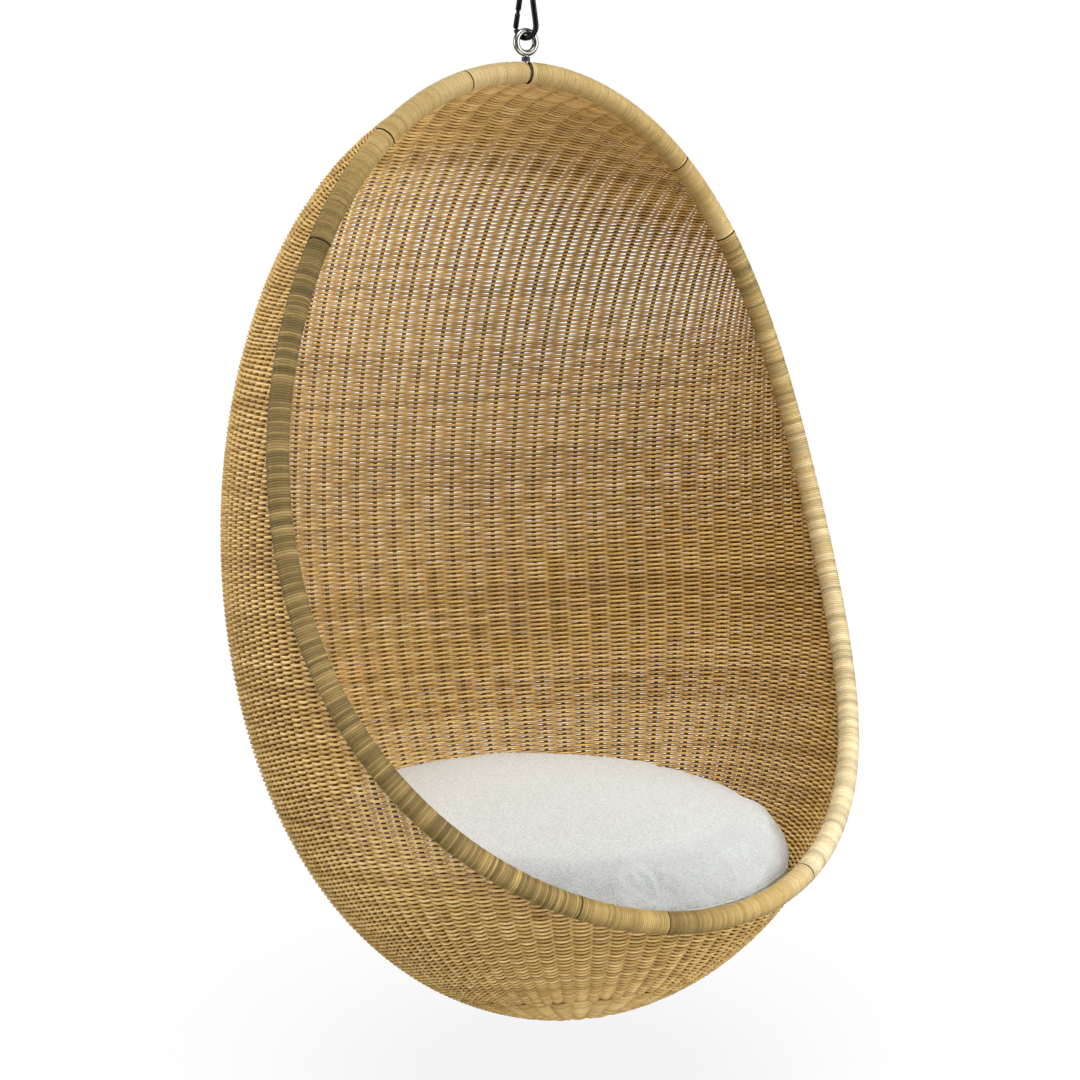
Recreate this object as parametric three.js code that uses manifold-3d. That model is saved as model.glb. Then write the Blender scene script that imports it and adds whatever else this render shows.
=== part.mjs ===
// Pod chair: a woven rattan egg with one large opening, hung by an eye from a steel spring hook.
// Millimetres, +Z up, front towards -Y. The origin is the inner top of the hook, where the
// ceiling's eye or chain bears. The egg's own sizes are counted up from its foot.
import * as THREE from 'three';
import { mergeVertices } from 'three/addons/utils/BufferGeometryUtils.js';
import Module from 'manifold-3d';

const wasm = await Module();
wasm.setup();

// Clearances
const gap = 0.3; // between pieces that touch
const runningFit = 0.08; // radial, where a pin turns in its hole
const overrun = 6; // how far a cut runs past the face it leaves by

// Woven egg, measured on the outside of the weave
const egg = {
  height: 1190, // foot to the rim's centre line at the top
  halfWidth: 427,
  halfDepth: 407,
  widthShares: [0.004, 0.009],
  depthShares: [0.027, 0.006],
  bellyForward: 58.7, // how far the belly's middle lies in front of the hanging line
  footForward: 64.2,
  wall: 10, // one upright stake with a strand on each side
  rings: 30,
  sectors: 40,
};
const rowTilt = THREE.MathUtils.degToRad(11); // the woven rows lie lower at the back

// Opening, as its edge shows from the side
const opening = {
  sill: 194, // height of the rim's centre line at the front
  forwardAtThird: 39.7,
  forwardAtTwoThirds: 134.6,
  steps: 20,
};

// Rim: a bent pole, wrapped in lengths of split cane
const hoopRadius = 12.2;
const bindingThickness = 1.7;
const bindingRadius = hoopRadius + gap + bindingThickness;
const rim = { sides: 10, stations: 60, pathPoints: 180 };
const bindingSlit = 2.4; // the parting in the wrapping at the eye
const bindings = [
  { name: 'binding_top_right', from: 0, to: 0.09 },
  { name: 'binding_shoulder_right', from: 0.09, to: 0.129 },
  { name: 'binding_side_right', from: 0.129, to: 0.45 },
  { name: 'binding_front_right', from: 0.45, to: 0.53 },
  { name: 'binding_front_left', from: 0.53, to: 0.567 },
  { name: 'binding_side_left', from: 0.567, to: 0.868 },
  { name: 'binding_shoulder_left', from: 0.868, to: 0.921 },
  { name: 'binding_arch_left', from: 0.921, to: 0.969 },
  { name: 'binding_top_left', from: 0.969, to: 1 },
];

// Scarf joint that closes the hoop at the front
const scarf = {
  share: 0.5,
  slope: THREE.MathUtils.degToRad(15),
  dowelRadius: 2.5,
  dowelLength: 15,
  dowelSpacing: 28,
  sides: 12,
};

// Eye that the chair hangs by
const eye = {
  ringRadius: 13.5, // to the middle of the wire
  wireRadius: 4,
  shankRadius: 3,
  bowClearance: 0.6, // it crosses the hook's bow at a slant and rides this far above it
  turn: THREE.MathUtils.degToRad(-10),
  ringSteps: 20,
  wireSides: 10,
  shankSides: 16,
};
const collar = { radius: 5.5, height: 5.2 };
const washer = { radius: 6, thickness: 1.6 };
const nut = { acrossFlats: 10, height: 5 };
const counterboreRadius = 6.6;
const shankEndInset = 2.2; // the shank and the nut stop this far inside the hoop's underside

// The chair hangs turned this far, which brings its centre of mass under the hook.
const hangTilt = THREE.MathUtils.degToRad(-0.85);

// Spring hook
const hook = {
  wireRadius: 3.5,
  topRadius: 8, // to the middle of the wire
  bowRadius: 14.5,
  innerLength: 56,
  turn: THREE.MathUtils.degToRad(-69),
  halfSides: 5, // of the wire's section
  bowSteps: 12,
};
const gate = {
  pinDrop: 30, // below the inner top of the hook
  length: 18.6, // pin to the closed end
  noseGap: 0.5,
  tongueThickness: 3,
  tongueRadius: 3,
  pinRadius: 1,
  springRadius: 1.1,
  springLength: 7,
  sides: 16,
};

// Seat cushion
const cushion = {
  radius: 309,
  crown: 55, // seam to the top
  depth: 75, // seam to the underside
  crownPower: 2.4,
  depthPower: 3.4,
  seamDepth: 3,
  coverThickness: 1.5,
  forward: 54,
  sink: 22.8, // how far the bowl presses into it where it bears most
  seatSteps: 90,
  tilt: THREE.MathUtils.degToRad(3), // the back is a little higher
  rings: 6,
  sectors: 32,
};
const zip = { halfHeight: 1.2, halfWidth: 160 };

// Finishes
const finishes = {
  pole: { color: 0xb98a54, roughness: 0.7, metalness: 0 },
  weave: { color: 0xc9a468, roughness: 0.65, metalness: 0 },
  fineBinding: { color: 0xe2cf98, roughness: 0.45, metalness: 0 },
  bandedBinding: { color: 0xc6ad76, roughness: 0.5, metalness: 0 },
  dowel: { color: 0xa87b45, roughness: 0.7, metalness: 0 },
  polishedSteel: { color: 0xb9bcc0, roughness: 0.2, metalness: 1 },
  darkSteel: { color: 0x3a3a3c, roughness: 0.4, metalness: 0.8 },
  blackSteel: { color: 0x1e1e20, roughness: 0.35, metalness: 0.8 },
  cloth: { color: 0xdee2e0, roughness: 0.95, metalness: 0 },
  filling: { color: 0xf2f2ee, roughness: 1, metalness: 0 },
};

// Heights in the hanging line, from the hook down
const hookBowZ = -hook.innerLength - hook.wireRadius;
const eyeTopZ = -hook.innerLength + eye.bowClearance + eye.wireRadius;
const eyeZ = eyeTopZ - eye.ringRadius;
const eyeFootZ = eyeZ - eye.ringRadius - eye.wireRadius;
const rimTopZ = eyeFootZ - gap - collar.height - gap - bindingRadius;
const chairZ = rimTopZ - egg.height;

// Welds a geometry's vertices, drops its flat triangles and turns its faces outwards.
function toSolid(geometry) {
  const bare = geometry.clone();
  bare.deleteAttribute('normal');
  bare.deleteAttribute('uv');
  const welded = mergeVertices(bare);
  const positions = welded.attributes.position.array;
  const corners = [];
  for (let i = 0; i < welded.index.count; i += 3) {
    const [a, b, c] = welded.index.array.slice(i, i + 3);
    if (a !== b && b !== c && c !== a) corners.push(a, b, c);
  }
  if (signedVolume(positions, corners) < 0) corners.reverse();
  return new wasm.Manifold(new wasm.Mesh({
    numProp: 3,
    vertProperties: new Float32Array(positions),
    triVerts: new Uint32Array(corners),
  }));
}

// Six times the volume inside a closed mesh, negative where its faces point inwards.
function signedVolume(positions, corners) {
  const [a, b, c] = [new THREE.Vector3(), new THREE.Vector3(), new THREE.Vector3()];
  let sum = 0;
  for (let i = 0; i < corners.length; i += 3) {
    a.fromArray(positions, corners[i] * 3);
    b.fromArray(positions, corners[i + 1] * 3);
    c.fromArray(positions, corners[i + 2] * 3);
    sum += a.dot(b.cross(c));
  }
  return sum;
}

function makeMesh(name, solid, finish) {
  const data = solid.getMesh();
  const geometry = new THREE.BufferGeometry();
  geometry.setAttribute('position', new THREE.BufferAttribute(data.vertProperties, 3));
  geometry.setIndex(new THREE.BufferAttribute(data.triVerts, 1));
  geometry.computeVertexNormals();
  const mesh = new THREE.Mesh(geometry, new THREE.MeshStandardMaterial(finish));
  mesh.name = name;
  return mesh;
}

// Moves each vertex of a geometry to the point that a function gives for it.
function remap(geometry, place) {
  const positions = geometry.attributes.position;
  for (let i = 0; i < positions.count; i++) {
    const moved = place(new THREE.Vector3().fromBufferAttribute(positions, i), i);
    positions.setXYZ(i, moved.x, moved.y, moved.z);
  }
  return geometry;
}

// An upright cylinder between two heights.
function upright(radius, low, high, sides) {
  const geometry = new THREE.CylinderGeometry(radius, radius, high - low, sides);
  geometry.rotateX(Math.PI / 2);
  geometry.translate(0, 0, (low + high) / 2);
  return toSolid(geometry);
}

// Egg surface

// One cross-section of the egg. The turn runs from 0 at the foot to pi at the top.
function eggSection(turn) {
  const swell = (shares) => Math.sin(turn)
    + shares[0] * Math.sin(2 * turn)
    + shares[1] * Math.sin(3 * turn);
  const c = Math.cos(turn);
  const halfFoot = egg.footForward / 2;
  return {
    halfWidth: egg.halfWidth * swell(egg.widthShares),
    halfDepth: egg.halfDepth * swell(egg.depthShares),
    middle: -egg.bellyForward - halfFoot * c + (egg.bellyForward - halfFoot) * c * c,
    height: egg.height * (1 - c) / 2,
  };
}

const turnAtHeight = (height) => Math.acos(1 - 2 * height / egg.height);

function eggPoint(turn, around) {
  const s = eggSection(turn);
  return new THREE.Vector3(
    s.halfWidth * Math.cos(around),
    s.middle + s.halfDepth * Math.sin(around),
    s.height,
  );
}

function eggNormal(turn, around) {
  const small = 1e-3;
  if (Math.sin(turn) < small) return new THREE.Vector3(0, 0, -Math.sign(Math.cos(turn)));
  const up = eggPoint(turn + small, around).sub(eggPoint(turn - small, around));
  const along = eggPoint(turn, around + small).sub(eggPoint(turn, around - small));
  return along.cross(up).normalize();
}

// The solid inside the egg, its surface moved inwards by a distance.
function eggSolid(inset) {
  const ball = new THREE.SphereGeometry(1, egg.sectors, egg.rings);
  return toSolid(remap(ball, (p) => {
    const turn = Math.acos(THREE.MathUtils.clamp(-p.y, -1, 1));
    const around = Math.atan2(-p.z, p.x);
    return eggPoint(turn, around).addScaledVector(eggNormal(turn, around), -inset);
  }));
}

// Rim

// Side view of the opening's edge: its Y at a share of the way from the top to the sill.
function rimSideY(share) {
  const sill = eggSection(turnAtHeight(opening.sill));
  const heights = [0, -opening.forwardAtThird, -opening.forwardAtTwoThirds, sill.middle - sill.halfDepth];
  const at = [0, 1 / 3, 2 / 3, 1];
  return heights.reduce((sum, value, i) => {
    const weight = at.reduce((w, other, j) => (i === j ? w : w * (share - other) / (at[i] - other)), 1);
    return sum + value * weight;
  }, 0);
}

const rimHeight = (share) => egg.height - (egg.height - opening.sill) * share;

// The rim's centre line lies on the egg. It starts at the top and goes down the right side.
function rimCurve() {
  const half = [];
  const count = rim.pathPoints / 2;
  for (let i = 0; i <= count; i++) {
    const share = (1 - Math.cos(Math.PI * i / count)) / 2;
    const s = eggSection(turnAtHeight(rimHeight(share)));
    const y = rimSideY(share);
    const reach = s.halfDepth > 0 ? (y - s.middle) / s.halfDepth : 1;
    const x = s.halfWidth * Math.sqrt(Math.max(0, 1 - reach * reach));
    half.push(new THREE.Vector3(x, y, rimHeight(share)));
  }
  const back = half.slice(1, -1).reverse().map((p) => new THREE.Vector3(-p.x, p.y, p.z));
  const curve = new THREE.CatmullRomCurve3([...half, ...back], true);
  curve.arcLengthDivisions = rim.pathPoints * 4;
  return curve;
}

const rimPath = rimCurve();
const rimLength = rimPath.getLength();
const rimFacing = new THREE.Vector3(0, opening.sill - egg.height, -rimSideY(1)).normalize();

// Point and directions at a share of the rim's length: along it, facing out of the opening, and across.
function rimFrame(share) {
  const at = THREE.MathUtils.euclideanModulo(share, 1);
  const along = rimPath.getTangentAt(at);
  const facing = rimFacing.clone().addScaledVector(along, -rimFacing.dot(along)).normalize();
  const across = facing.clone().cross(along);
  return { point: rimPath.getPointAt(at), along, facing, across };
}

// Shares of the rim's length where every tube round it has a ring of vertices.
function rimStations() {
  const even = Array.from({ length: rim.stations }, (_, i) => i / rim.stations);
  const seams = bindings.map((b) => b.from);
  const apart = 0.25 / rim.stations;
  const kept = even.filter((share) => seams.every((seam) => Math.abs(share - seam) > apart));
  return [...kept, ...seams].sort((a, b) => a - b);
}

const stations = rimStations();

function rimPlace(share, radius, angle) {
  const f = rimFrame(share);
  return f.point
    .addScaledVector(f.facing, radius * Math.sin(angle))
    .addScaledVector(f.across, radius * Math.cos(angle));
}

// A closed tube of one radius all the way round the rim.
function rimLoop(radius) {
  const torus = new THREE.TorusGeometry(2, 1, rim.sides, stations.length);
  const uv = torus.attributes.uv;
  return toSolid(remap(torus, (_, i) => {
    const station = Math.round(uv.getX(i) * stations.length) % stations.length;
    return rimPlace(stations[station], radius, uv.getY(i) * Math.PI * 2);
  }));
}

// A sleeve round the hoop between two shares of the rim's length, turned straight and then bent.
function rimSleeve(from, to) {
  const inner = hoopRadius + gap;
  const shares = [from, ...stations.filter((share) => share > from && share < to), to];
  const outside = shares.map((share) => new THREE.Vector2(bindingRadius, share));
  const inside = shares.map((share) => new THREE.Vector2(inner, share)).reverse();
  const profile = [...outside, ...inside, outside[0].clone()];
  const sleeve = new THREE.LatheGeometry(profile, rim.sides);
  return toSolid(remap(sleeve, (p) => rimPlace(p.y, Math.hypot(p.x, p.z), Math.atan2(p.x, p.z))));
}

// The scarf's own directions: X along the cut, Y through it, Z across the pole.
function scarfMatrix() {
  const f = rimFrame(scarf.share);
  const matrix = new THREE.Matrix4().makeBasis(f.along, f.facing, f.across.negate());
  matrix.setPosition(f.point);
  return matrix.multiply(new THREE.Matrix4().makeRotationZ(scarf.slope));
}

function scarfKerf() {
  const reach = hoopRadius + overrun;
  const kerf = new THREE.BoxGeometry(2 * reach / Math.sin(scarf.slope), gap, 2 * reach);
  return toSolid(kerf.applyMatrix4(scarfMatrix()));
}

function scarfPeg(side, radius, length) {
  const peg = new THREE.CylinderGeometry(radius, radius, length, scarf.sides);
  peg.translate(side * scarf.dowelSpacing / 2, 0, 0);
  return toSolid(peg.applyMatrix4(scarfMatrix()));
}

// Room for the eye's shank, and for its washer and nut under the hoop.
function shankBore() {
  const radius = eye.shankRadius + gap;
  return upright(radius, egg.height - bindingRadius - overrun, egg.height + bindingRadius + overrun, eye.shankSides);
}

const nutSeatZ = egg.height - hoopRadius + shankEndInset + nut.height + gap + washer.thickness + gap;

function counterbore() {
  return upright(counterboreRadius, egg.height - hoopRadius - overrun, nutSeatZ, eye.shankSides);
}

function makeHoop() {
  let solid = rimLoop(hoopRadius).subtract(shankBore()).subtract(counterbore()).subtract(scarfKerf());
  for (const side of [-1, 1]) {
    solid = solid.subtract(scarfPeg(side, scarf.dowelRadius + gap, 2 * (hoopRadius + overrun)));
  }
  return makeMesh('rim_hoop', solid, finishes.pole);
}

function makeDowel(name, side) {
  return makeMesh(name, scarfPeg(side, scarf.dowelRadius, scarf.dowelLength), finishes.dowel);
}

// One length of wrapping. It is wound finely at the top and the front, in bands down the sides.
function makeBinding({ name, from, to }) {
  const halfGap = gap / 2 / rimLength;
  const halfSlit = bindingSlit / 2 / rimLength;
  const start = from + (from === 0 ? halfSlit : halfGap);
  const end = to - (to === 1 ? halfSlit : halfGap);
  const sleeve = rimSleeve(start, end);
  const atEye = from === 0 || to === 1;
  const finish = name.includes('side') ? finishes.bandedBinding : finishes.fineBinding;
  return makeMesh(name, atEye ? sleeve.subtract(shankBore()) : sleeve, finish);
}

// Woven shell

// Everything in front of the opening's edge, as one block across the egg.
function openingCutter() {
  const outline = new THREE.Shape();
  const clear = egg.height + overrun;
  outline.moveTo(rimSideY(0), clear);
  for (let i = 0; i <= opening.steps; i++) {
    const share = i / opening.steps;
    outline.lineTo(rimSideY(share), rimHeight(share));
  }
  outline.lineTo(-egg.height, opening.sill);
  outline.lineTo(-egg.height, clear);
  outline.closePath();
  const width = 2 * (egg.halfWidth + overrun);
  const block = new THREE.ExtrudeGeometry(outline, { depth: width, bevelEnabled: false });
  block.translate(0, 0, -width / 2);
  const [x, y, z] = [new THREE.Vector3(1, 0, 0), new THREE.Vector3(0, 1, 0), new THREE.Vector3(0, 0, 1)];
  return toSolid(block.applyMatrix4(new THREE.Matrix4().makeBasis(y, z, x)));
}

function wovenShell() {
  return eggSolid(0)
    .subtract(eggSolid(egg.wall))
    .subtract(openingCutter())
    .subtract(rimLoop(bindingRadius + gap));
}

// All the space above (1) or below (-1) the row that passes just under the rim at the front.
function besideRimRow(direction) {
  const size = 2 * egg.height;
  const block = new THREE.BoxGeometry(size, size, size);
  block.translate(0, 0, direction * (size + gap) / 2);
  block.rotateX(-rowTilt);
  block.translate(0, rimSideY(1), opening.sill - bindingRadius - gap);
  return toSolid(block);
}

// Below the front of the rim the rows are closed rings, and above it they run from rim to rim.
function makeBowl(shell) {
  return makeMesh('woven_bowl', shell.intersect(besideRimRow(-1)), finishes.weave);
}

function makeWall(shell) {
  return makeMesh('woven_wall', shell.intersect(besideRimRow(1)), finishes.weave);
}

// Seat cushion

// Half of the cushion's outline from the underside's middle to the crown, drawn in at the seam.
function cushionProfile(inset) {
  const quarter = (height, power) => (i) => {
    const a = Math.PI / 2 * i / cushion.rings;
    const radius = (cushion.radius - inset) * Math.cos(a) ** (2 / power);
    return new THREE.Vector2(i === cushion.rings ? 0 : radius, height * Math.sin(a) ** (2 / power));
  };
  const steps = Array.from({ length: cushion.rings }, (_, i) => i + 1);
  const top = steps.map(quarter(cushion.crown - inset, cushion.crownPower));
  const under = steps.map(quarter(inset - cushion.depth, cushion.depthPower));
  return [...under.reverse(), new THREE.Vector2(cushion.radius - cushion.seamDepth - inset, 0), ...top];
}

// Height of the cushion's seam where its underside bears on the inside of the bowl.
function seatHeight() {
  let height = 0;
  for (let i = 1; i <= cushion.seatSteps; i++) {
    for (let j = 0; j < cushion.seatSteps; j++) {
      const turn = Math.PI / 2 * i / cushion.seatSteps;
      const around = 2 * Math.PI * j / cushion.seatSteps;
      const p = eggPoint(turn, around).addScaledVector(eggNormal(turn, around), -egg.wall - gap);
      const back = p.y + cushion.forward;
      const reach = Math.hypot(p.x, back) / cushion.radius;
      if (reach >= 1) continue;
      const drop = cushion.depth * (1 - reach ** cushion.depthPower) ** (1 / cushion.depthPower);
      height = Math.max(height, p.z + drop - back * Math.tan(cushion.tilt));
    }
  }
  return height - cushion.sink;
}

const seamHeight = seatHeight();

function placeCushion(geometry) {
  geometry.rotateX(Math.PI / 2 + cushion.tilt);
  geometry.translate(0, -cushion.forward, seamHeight);
  return toSolid(geometry);
}

// The cushion, drawn in all over by an inset, as it settles into the egg and against its rim.
function cushionSolid(inset) {
  const pillow = placeCushion(new THREE.LatheGeometry(cushionProfile(inset), cushion.sectors));
  return pillow
    .intersect(eggSolid(egg.wall + gap + inset))
    .subtract(rimLoop(bindingRadius + gap + inset));
}

const coverSkin = () => cushionSolid(0).subtract(cushionSolid(cushion.coverThickness));

// A flat band through the seam's left side, where the cover's zip is.
function zipBand(margin) {
  const reach = cushion.radius + overrun;
  const band = new THREE.BoxGeometry(reach, 2 * (zip.halfHeight + margin), 2 * (zip.halfWidth + margin));
  band.translate(-reach / 2, 0, 0);
  return placeCushion(band);
}

function makeCushionCover() {
  return makeMesh('cushion_cover', coverSkin().subtract(zipBand(gap)), finishes.cloth);
}

function makeCushionFilling() {
  return makeMesh('cushion_filling', cushionSolid(cushion.coverThickness + gap), finishes.filling);
}

function makeCushionZip() {
  return makeMesh('cushion_zip', coverSkin().intersect(zipBand(0)), finishes.cloth);
}

// Eye, in the chair's heights where it meets the hoop

function makeEyeBolt() {
  const ring = new THREE.TorusGeometry(eye.ringRadius, eye.wireRadius, eye.wireSides, eye.ringSteps);
  ring.rotateX(Math.PI / 2);
  ring.translate(0, 0, eyeZ);
  const shankEnd = rimTopZ - hoopRadius + shankEndInset;
  const shank = upright(eye.shankRadius, shankEnd, eyeZ - eye.ringRadius, eye.shankSides);
  return makeMesh('eye_bolt', toSolid(ring).add(shank), finishes.polishedSteel);
}

function makeEyeCollar() {
  const top = eyeFootZ - gap;
  const solid = upright(collar.radius, top - collar.height, top, eye.shankSides);
  const bore = upright(eye.shankRadius + gap, top - collar.height - overrun, top + overrun, eye.shankSides);
  return makeMesh('eye_collar', solid.subtract(bore), finishes.darkSteel);
}

// A disc or hexagon with a hole for the shank, its top at a height in the chair.
function threaded(name, radius, sides, top, thickness) {
  const solid = upright(radius, top - thickness, top, sides);
  const bore = upright(eye.shankRadius + gap, top - thickness - overrun, top + overrun, eye.shankSides);
  return makeMesh(name, solid.subtract(bore), finishes.darkSteel);
}

function makeEyeWasher() {
  return threaded('eye_washer', washer.radius, eye.shankSides, chairZ + nutSeatZ - gap, washer.thickness);
}

function makeEyeNut() {
  const radius = nut.acrossFlats / Math.sqrt(3);
  const top = chairZ + nutSeatZ - gap - washer.thickness - gap;
  return threaded('eye_nut', radius, 6, top, nut.height);
}

// Spring hook, drawn in its own XZ plane and then turned

// Lean of the legs, which touch a small circle at the top and a large one at the bow.
const hookTopCentreZ = hook.wireRadius - hook.topRadius;
const hookBowCentreZ = hookBowZ + hook.bowRadius;
const legLean = Math.asin((hook.bowRadius - hook.topRadius) / (hookTopCentreZ - hookBowCentreZ));
const legDown = new THREE.Vector3(-Math.sin(legLean), 0, -Math.cos(legLean)); // of the gate's leg

// The gate's pin lies on the left leg.
function gatePinPoint() {
  const top = new THREE.Vector3(
    -hook.topRadius * Math.cos(legLean),
    0,
    hookTopCentreZ + hook.topRadius * Math.sin(legLean),
  );
  return top.addScaledVector(legDown, (top.z + gate.pinDrop) / Math.cos(legLean));
}

const gatePin = gatePinPoint();

// Moves a piece drawn down its own -Z from the pin onto the gate's leg.
function onLeg(geometry) {
  geometry.rotateY(legLean);
  geometry.translate(gatePin.x, gatePin.y, gatePin.z);
  return toSolid(geometry);
}

function hookArc(radius, centreZ, from, to) {
  return Array.from({ length: hook.bowSteps + 1 }, (_, i) => {
    const a = THREE.MathUtils.lerp(from, to, i / hook.bowSteps);
    return new THREE.Vector3(radius * Math.cos(a), 0, centreZ + radius * Math.sin(a));
  });
}

// The wire's middle line, from above the gate's pin over the top and round the bow past the nose.
function hookLine() {
  const shoulder = gatePin.clone().addScaledVector(legDown, -(hook.wireRadius + gap * 2));
  const gateEnd = gatePin.clone().addScaledVector(legDown, gate.length - hook.wireRadius);
  const noseAngle = Math.PI + Math.asin((hookBowCentreZ - gateEnd.z) / hook.bowRadius);
  const over = hookArc(hook.topRadius, hookTopCentreZ, Math.PI - legLean, legLean);
  const under = hookArc(hook.bowRadius, hookBowCentreZ, legLean, noseAngle - 2 * Math.PI);
  return new THREE.CatmullRomCurve3([shoulder, ...over, ...under], false, 'centripetal');
}

function hookWire() {
  const section = new THREE.Shape().absarc(0, 0, hook.wireRadius, 0, Math.PI * 2);
  const wire = new THREE.ExtrudeGeometry(section, {
    curveSegments: hook.halfSides,
    steps: 3 * hook.bowSteps,
    extrudePath: hookLine(),
  });
  return toSolid(wire);
}

// The flat tongue at the wire's end, rounded about the pin, with the pin's hole.
function hookTongue() {
  const reach = hook.wireRadius + overrun;
  const bar = new THREE.BoxGeometry(2 * gate.tongueRadius, gate.tongueThickness, reach);
  bar.translate(0, 0, reach / 2);
  const round = new THREE.CylinderGeometry(
    gate.tongueRadius,
    gate.tongueRadius,
    gate.tongueThickness,
    gate.sides,
  );
  return onLeg(bar).add(onLeg(round));
}

function pinSolid(radius, length) {
  return onLeg(new THREE.CylinderGeometry(radius, radius, length, gate.sides));
}

// Room for the gate's lower half, which cuts the nose square to the gate.
function noseCutter() {
  const length = gate.length / 2 + gate.noseGap;
  const radius = 2 * hook.wireRadius;
  const cutter = new THREE.CylinderGeometry(radius, radius, length, gate.sides);
  cutter.rotateX(Math.PI / 2);
  cutter.translate(0, 0, -gate.length - gate.noseGap + length / 2);
  return onLeg(cutter);
}

function makeHookBody() {
  const hole = pinSolid(gate.pinRadius + runningFit, 2 * (hook.wireRadius + overrun));
  const solid = hookWire().add(hookTongue()).subtract(hole).subtract(noseCutter());
  return makeMesh('hook_body', solid, finishes.blackSteel);
}

const springTop = -gate.tongueRadius - 2 * gap;

function makeGate() {
  const bar = new THREE.CylinderGeometry(hook.wireRadius, hook.wireRadius, gate.length, gate.sides);
  bar.rotateX(Math.PI / 2);
  bar.translate(0, 0, -gate.length / 2);
  const round = new THREE.SphereGeometry(hook.wireRadius, gate.sides, gate.sides / 2);
  round.rotateX(Math.PI / 2);
  const slotDepth = gate.tongueRadius + gap;
  const slot = new THREE.BoxGeometry(
    4 * hook.wireRadius,
    gate.tongueThickness + 2 * gap,
    slotDepth + hook.wireRadius + overrun,
  );
  slot.translate(0, 0, (hook.wireRadius + overrun - slotDepth) / 2);
  const springBore = new THREE.CylinderGeometry(
    gate.springRadius + gap,
    gate.springRadius + gap,
    gate.springLength + overrun,
    gate.sides,
  );
  springBore.rotateX(Math.PI / 2);
  springBore.translate(0, 0, springTop + (overrun - gate.springLength) / 2 - gap);
  const solid = onLeg(bar)
    .add(onLeg(round))
    .subtract(onLeg(slot))
    .subtract(onLeg(springBore))
    .subtract(pinSolid(gate.pinRadius + runningFit, 2 * (hook.wireRadius + overrun)));
  return makeMesh('hook_gate', solid, finishes.blackSteel);
}

function makeGatePin() {
  const length = 2 * Math.sqrt(hook.wireRadius ** 2 - gate.pinRadius ** 2) - gap;
  return makeMesh('hook_gate_pin', pinSolid(gate.pinRadius, length), finishes.darkSteel);
}

function makeGateSpring() {
  const spring = new THREE.CylinderGeometry(
    gate.springRadius,
    gate.springRadius,
    gate.springLength,
    gate.sides,
  );
  spring.rotateX(Math.PI / 2);
  spring.translate(0, 0, springTop - gate.springLength / 2);
  return makeMesh('hook_gate_spring', onLeg(spring), finishes.darkSteel);
}

// Assembly

function makeChair() {
  const chair = new THREE.Group();
  const shell = wovenShell();
  chair.add(makeHoop());
  chair.add(makeDowel('scarf_dowel_left', -1));
  chair.add(makeDowel('scarf_dowel_right', 1));
  for (const binding of bindings) chair.add(makeBinding(binding));
  chair.add(makeWall(shell));
  chair.add(makeBowl(shell));
  chair.add(makeCushionCover());
  chair.add(makeCushionFilling());
  chair.add(makeCushionZip());
  chair.position.z = chairZ;
  return chair;
}

function makeEye() {
  const group = new THREE.Group();
  group.add(makeEyeBolt());
  group.add(makeEyeCollar());
  group.add(makeEyeWasher());
  group.add(makeEyeNut());
  group.rotation.z = eye.turn;
  return group;
}

function makeHook() {
  const group = new THREE.Group();
  group.add(makeHookBody());
  group.add(makeGate());
  group.add(makeGatePin());
  group.add(makeGateSpring());
  group.rotation.z = hook.turn;
  return group;
}

// The eye and the chair hang together, turned a little about the eye's bearing on the hook.
function makeHanging() {
  const hanging = new THREE.Group();
  for (const piece of [makeEye(), makeChair()]) {
    piece.position.z -= eyeTopZ;
    hanging.add(piece);
  }
  hanging.position.z = eyeTopZ;
  hanging.rotation.x = hangTilt;
  return hanging;
}

const group = new THREE.Group();
group.add(makeHook());
group.add(makeHanging());

export default group;
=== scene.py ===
import math

import bmesh
import bpy
import numpy as np
from bpy.props import FloatProperty, FloatVectorProperty, IntProperty, PointerProperty
from mathutils import Matrix, Vector


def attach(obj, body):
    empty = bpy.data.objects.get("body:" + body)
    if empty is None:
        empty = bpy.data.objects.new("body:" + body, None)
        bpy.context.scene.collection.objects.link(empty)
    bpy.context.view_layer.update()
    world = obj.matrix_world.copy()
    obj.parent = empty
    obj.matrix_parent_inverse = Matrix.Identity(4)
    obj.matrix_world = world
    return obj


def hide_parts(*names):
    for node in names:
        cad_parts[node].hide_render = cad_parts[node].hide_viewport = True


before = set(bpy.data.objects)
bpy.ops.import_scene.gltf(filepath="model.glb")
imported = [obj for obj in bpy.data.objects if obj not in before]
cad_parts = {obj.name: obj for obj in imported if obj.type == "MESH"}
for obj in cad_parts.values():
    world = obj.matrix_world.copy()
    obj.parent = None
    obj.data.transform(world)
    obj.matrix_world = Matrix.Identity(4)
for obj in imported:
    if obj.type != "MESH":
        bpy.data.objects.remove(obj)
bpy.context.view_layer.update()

bl_info = {
    "name": "Hanging egg chair",
    "version": (1, 0, 0),
    "blender": (4, 5, 0),
    "location": "View3D > Sidebar > Egg chair",
    "description": "Weaves, wraps and upholsters a hanging rattan chair round its frame",
    "category": "Add Mesh",
}

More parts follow.
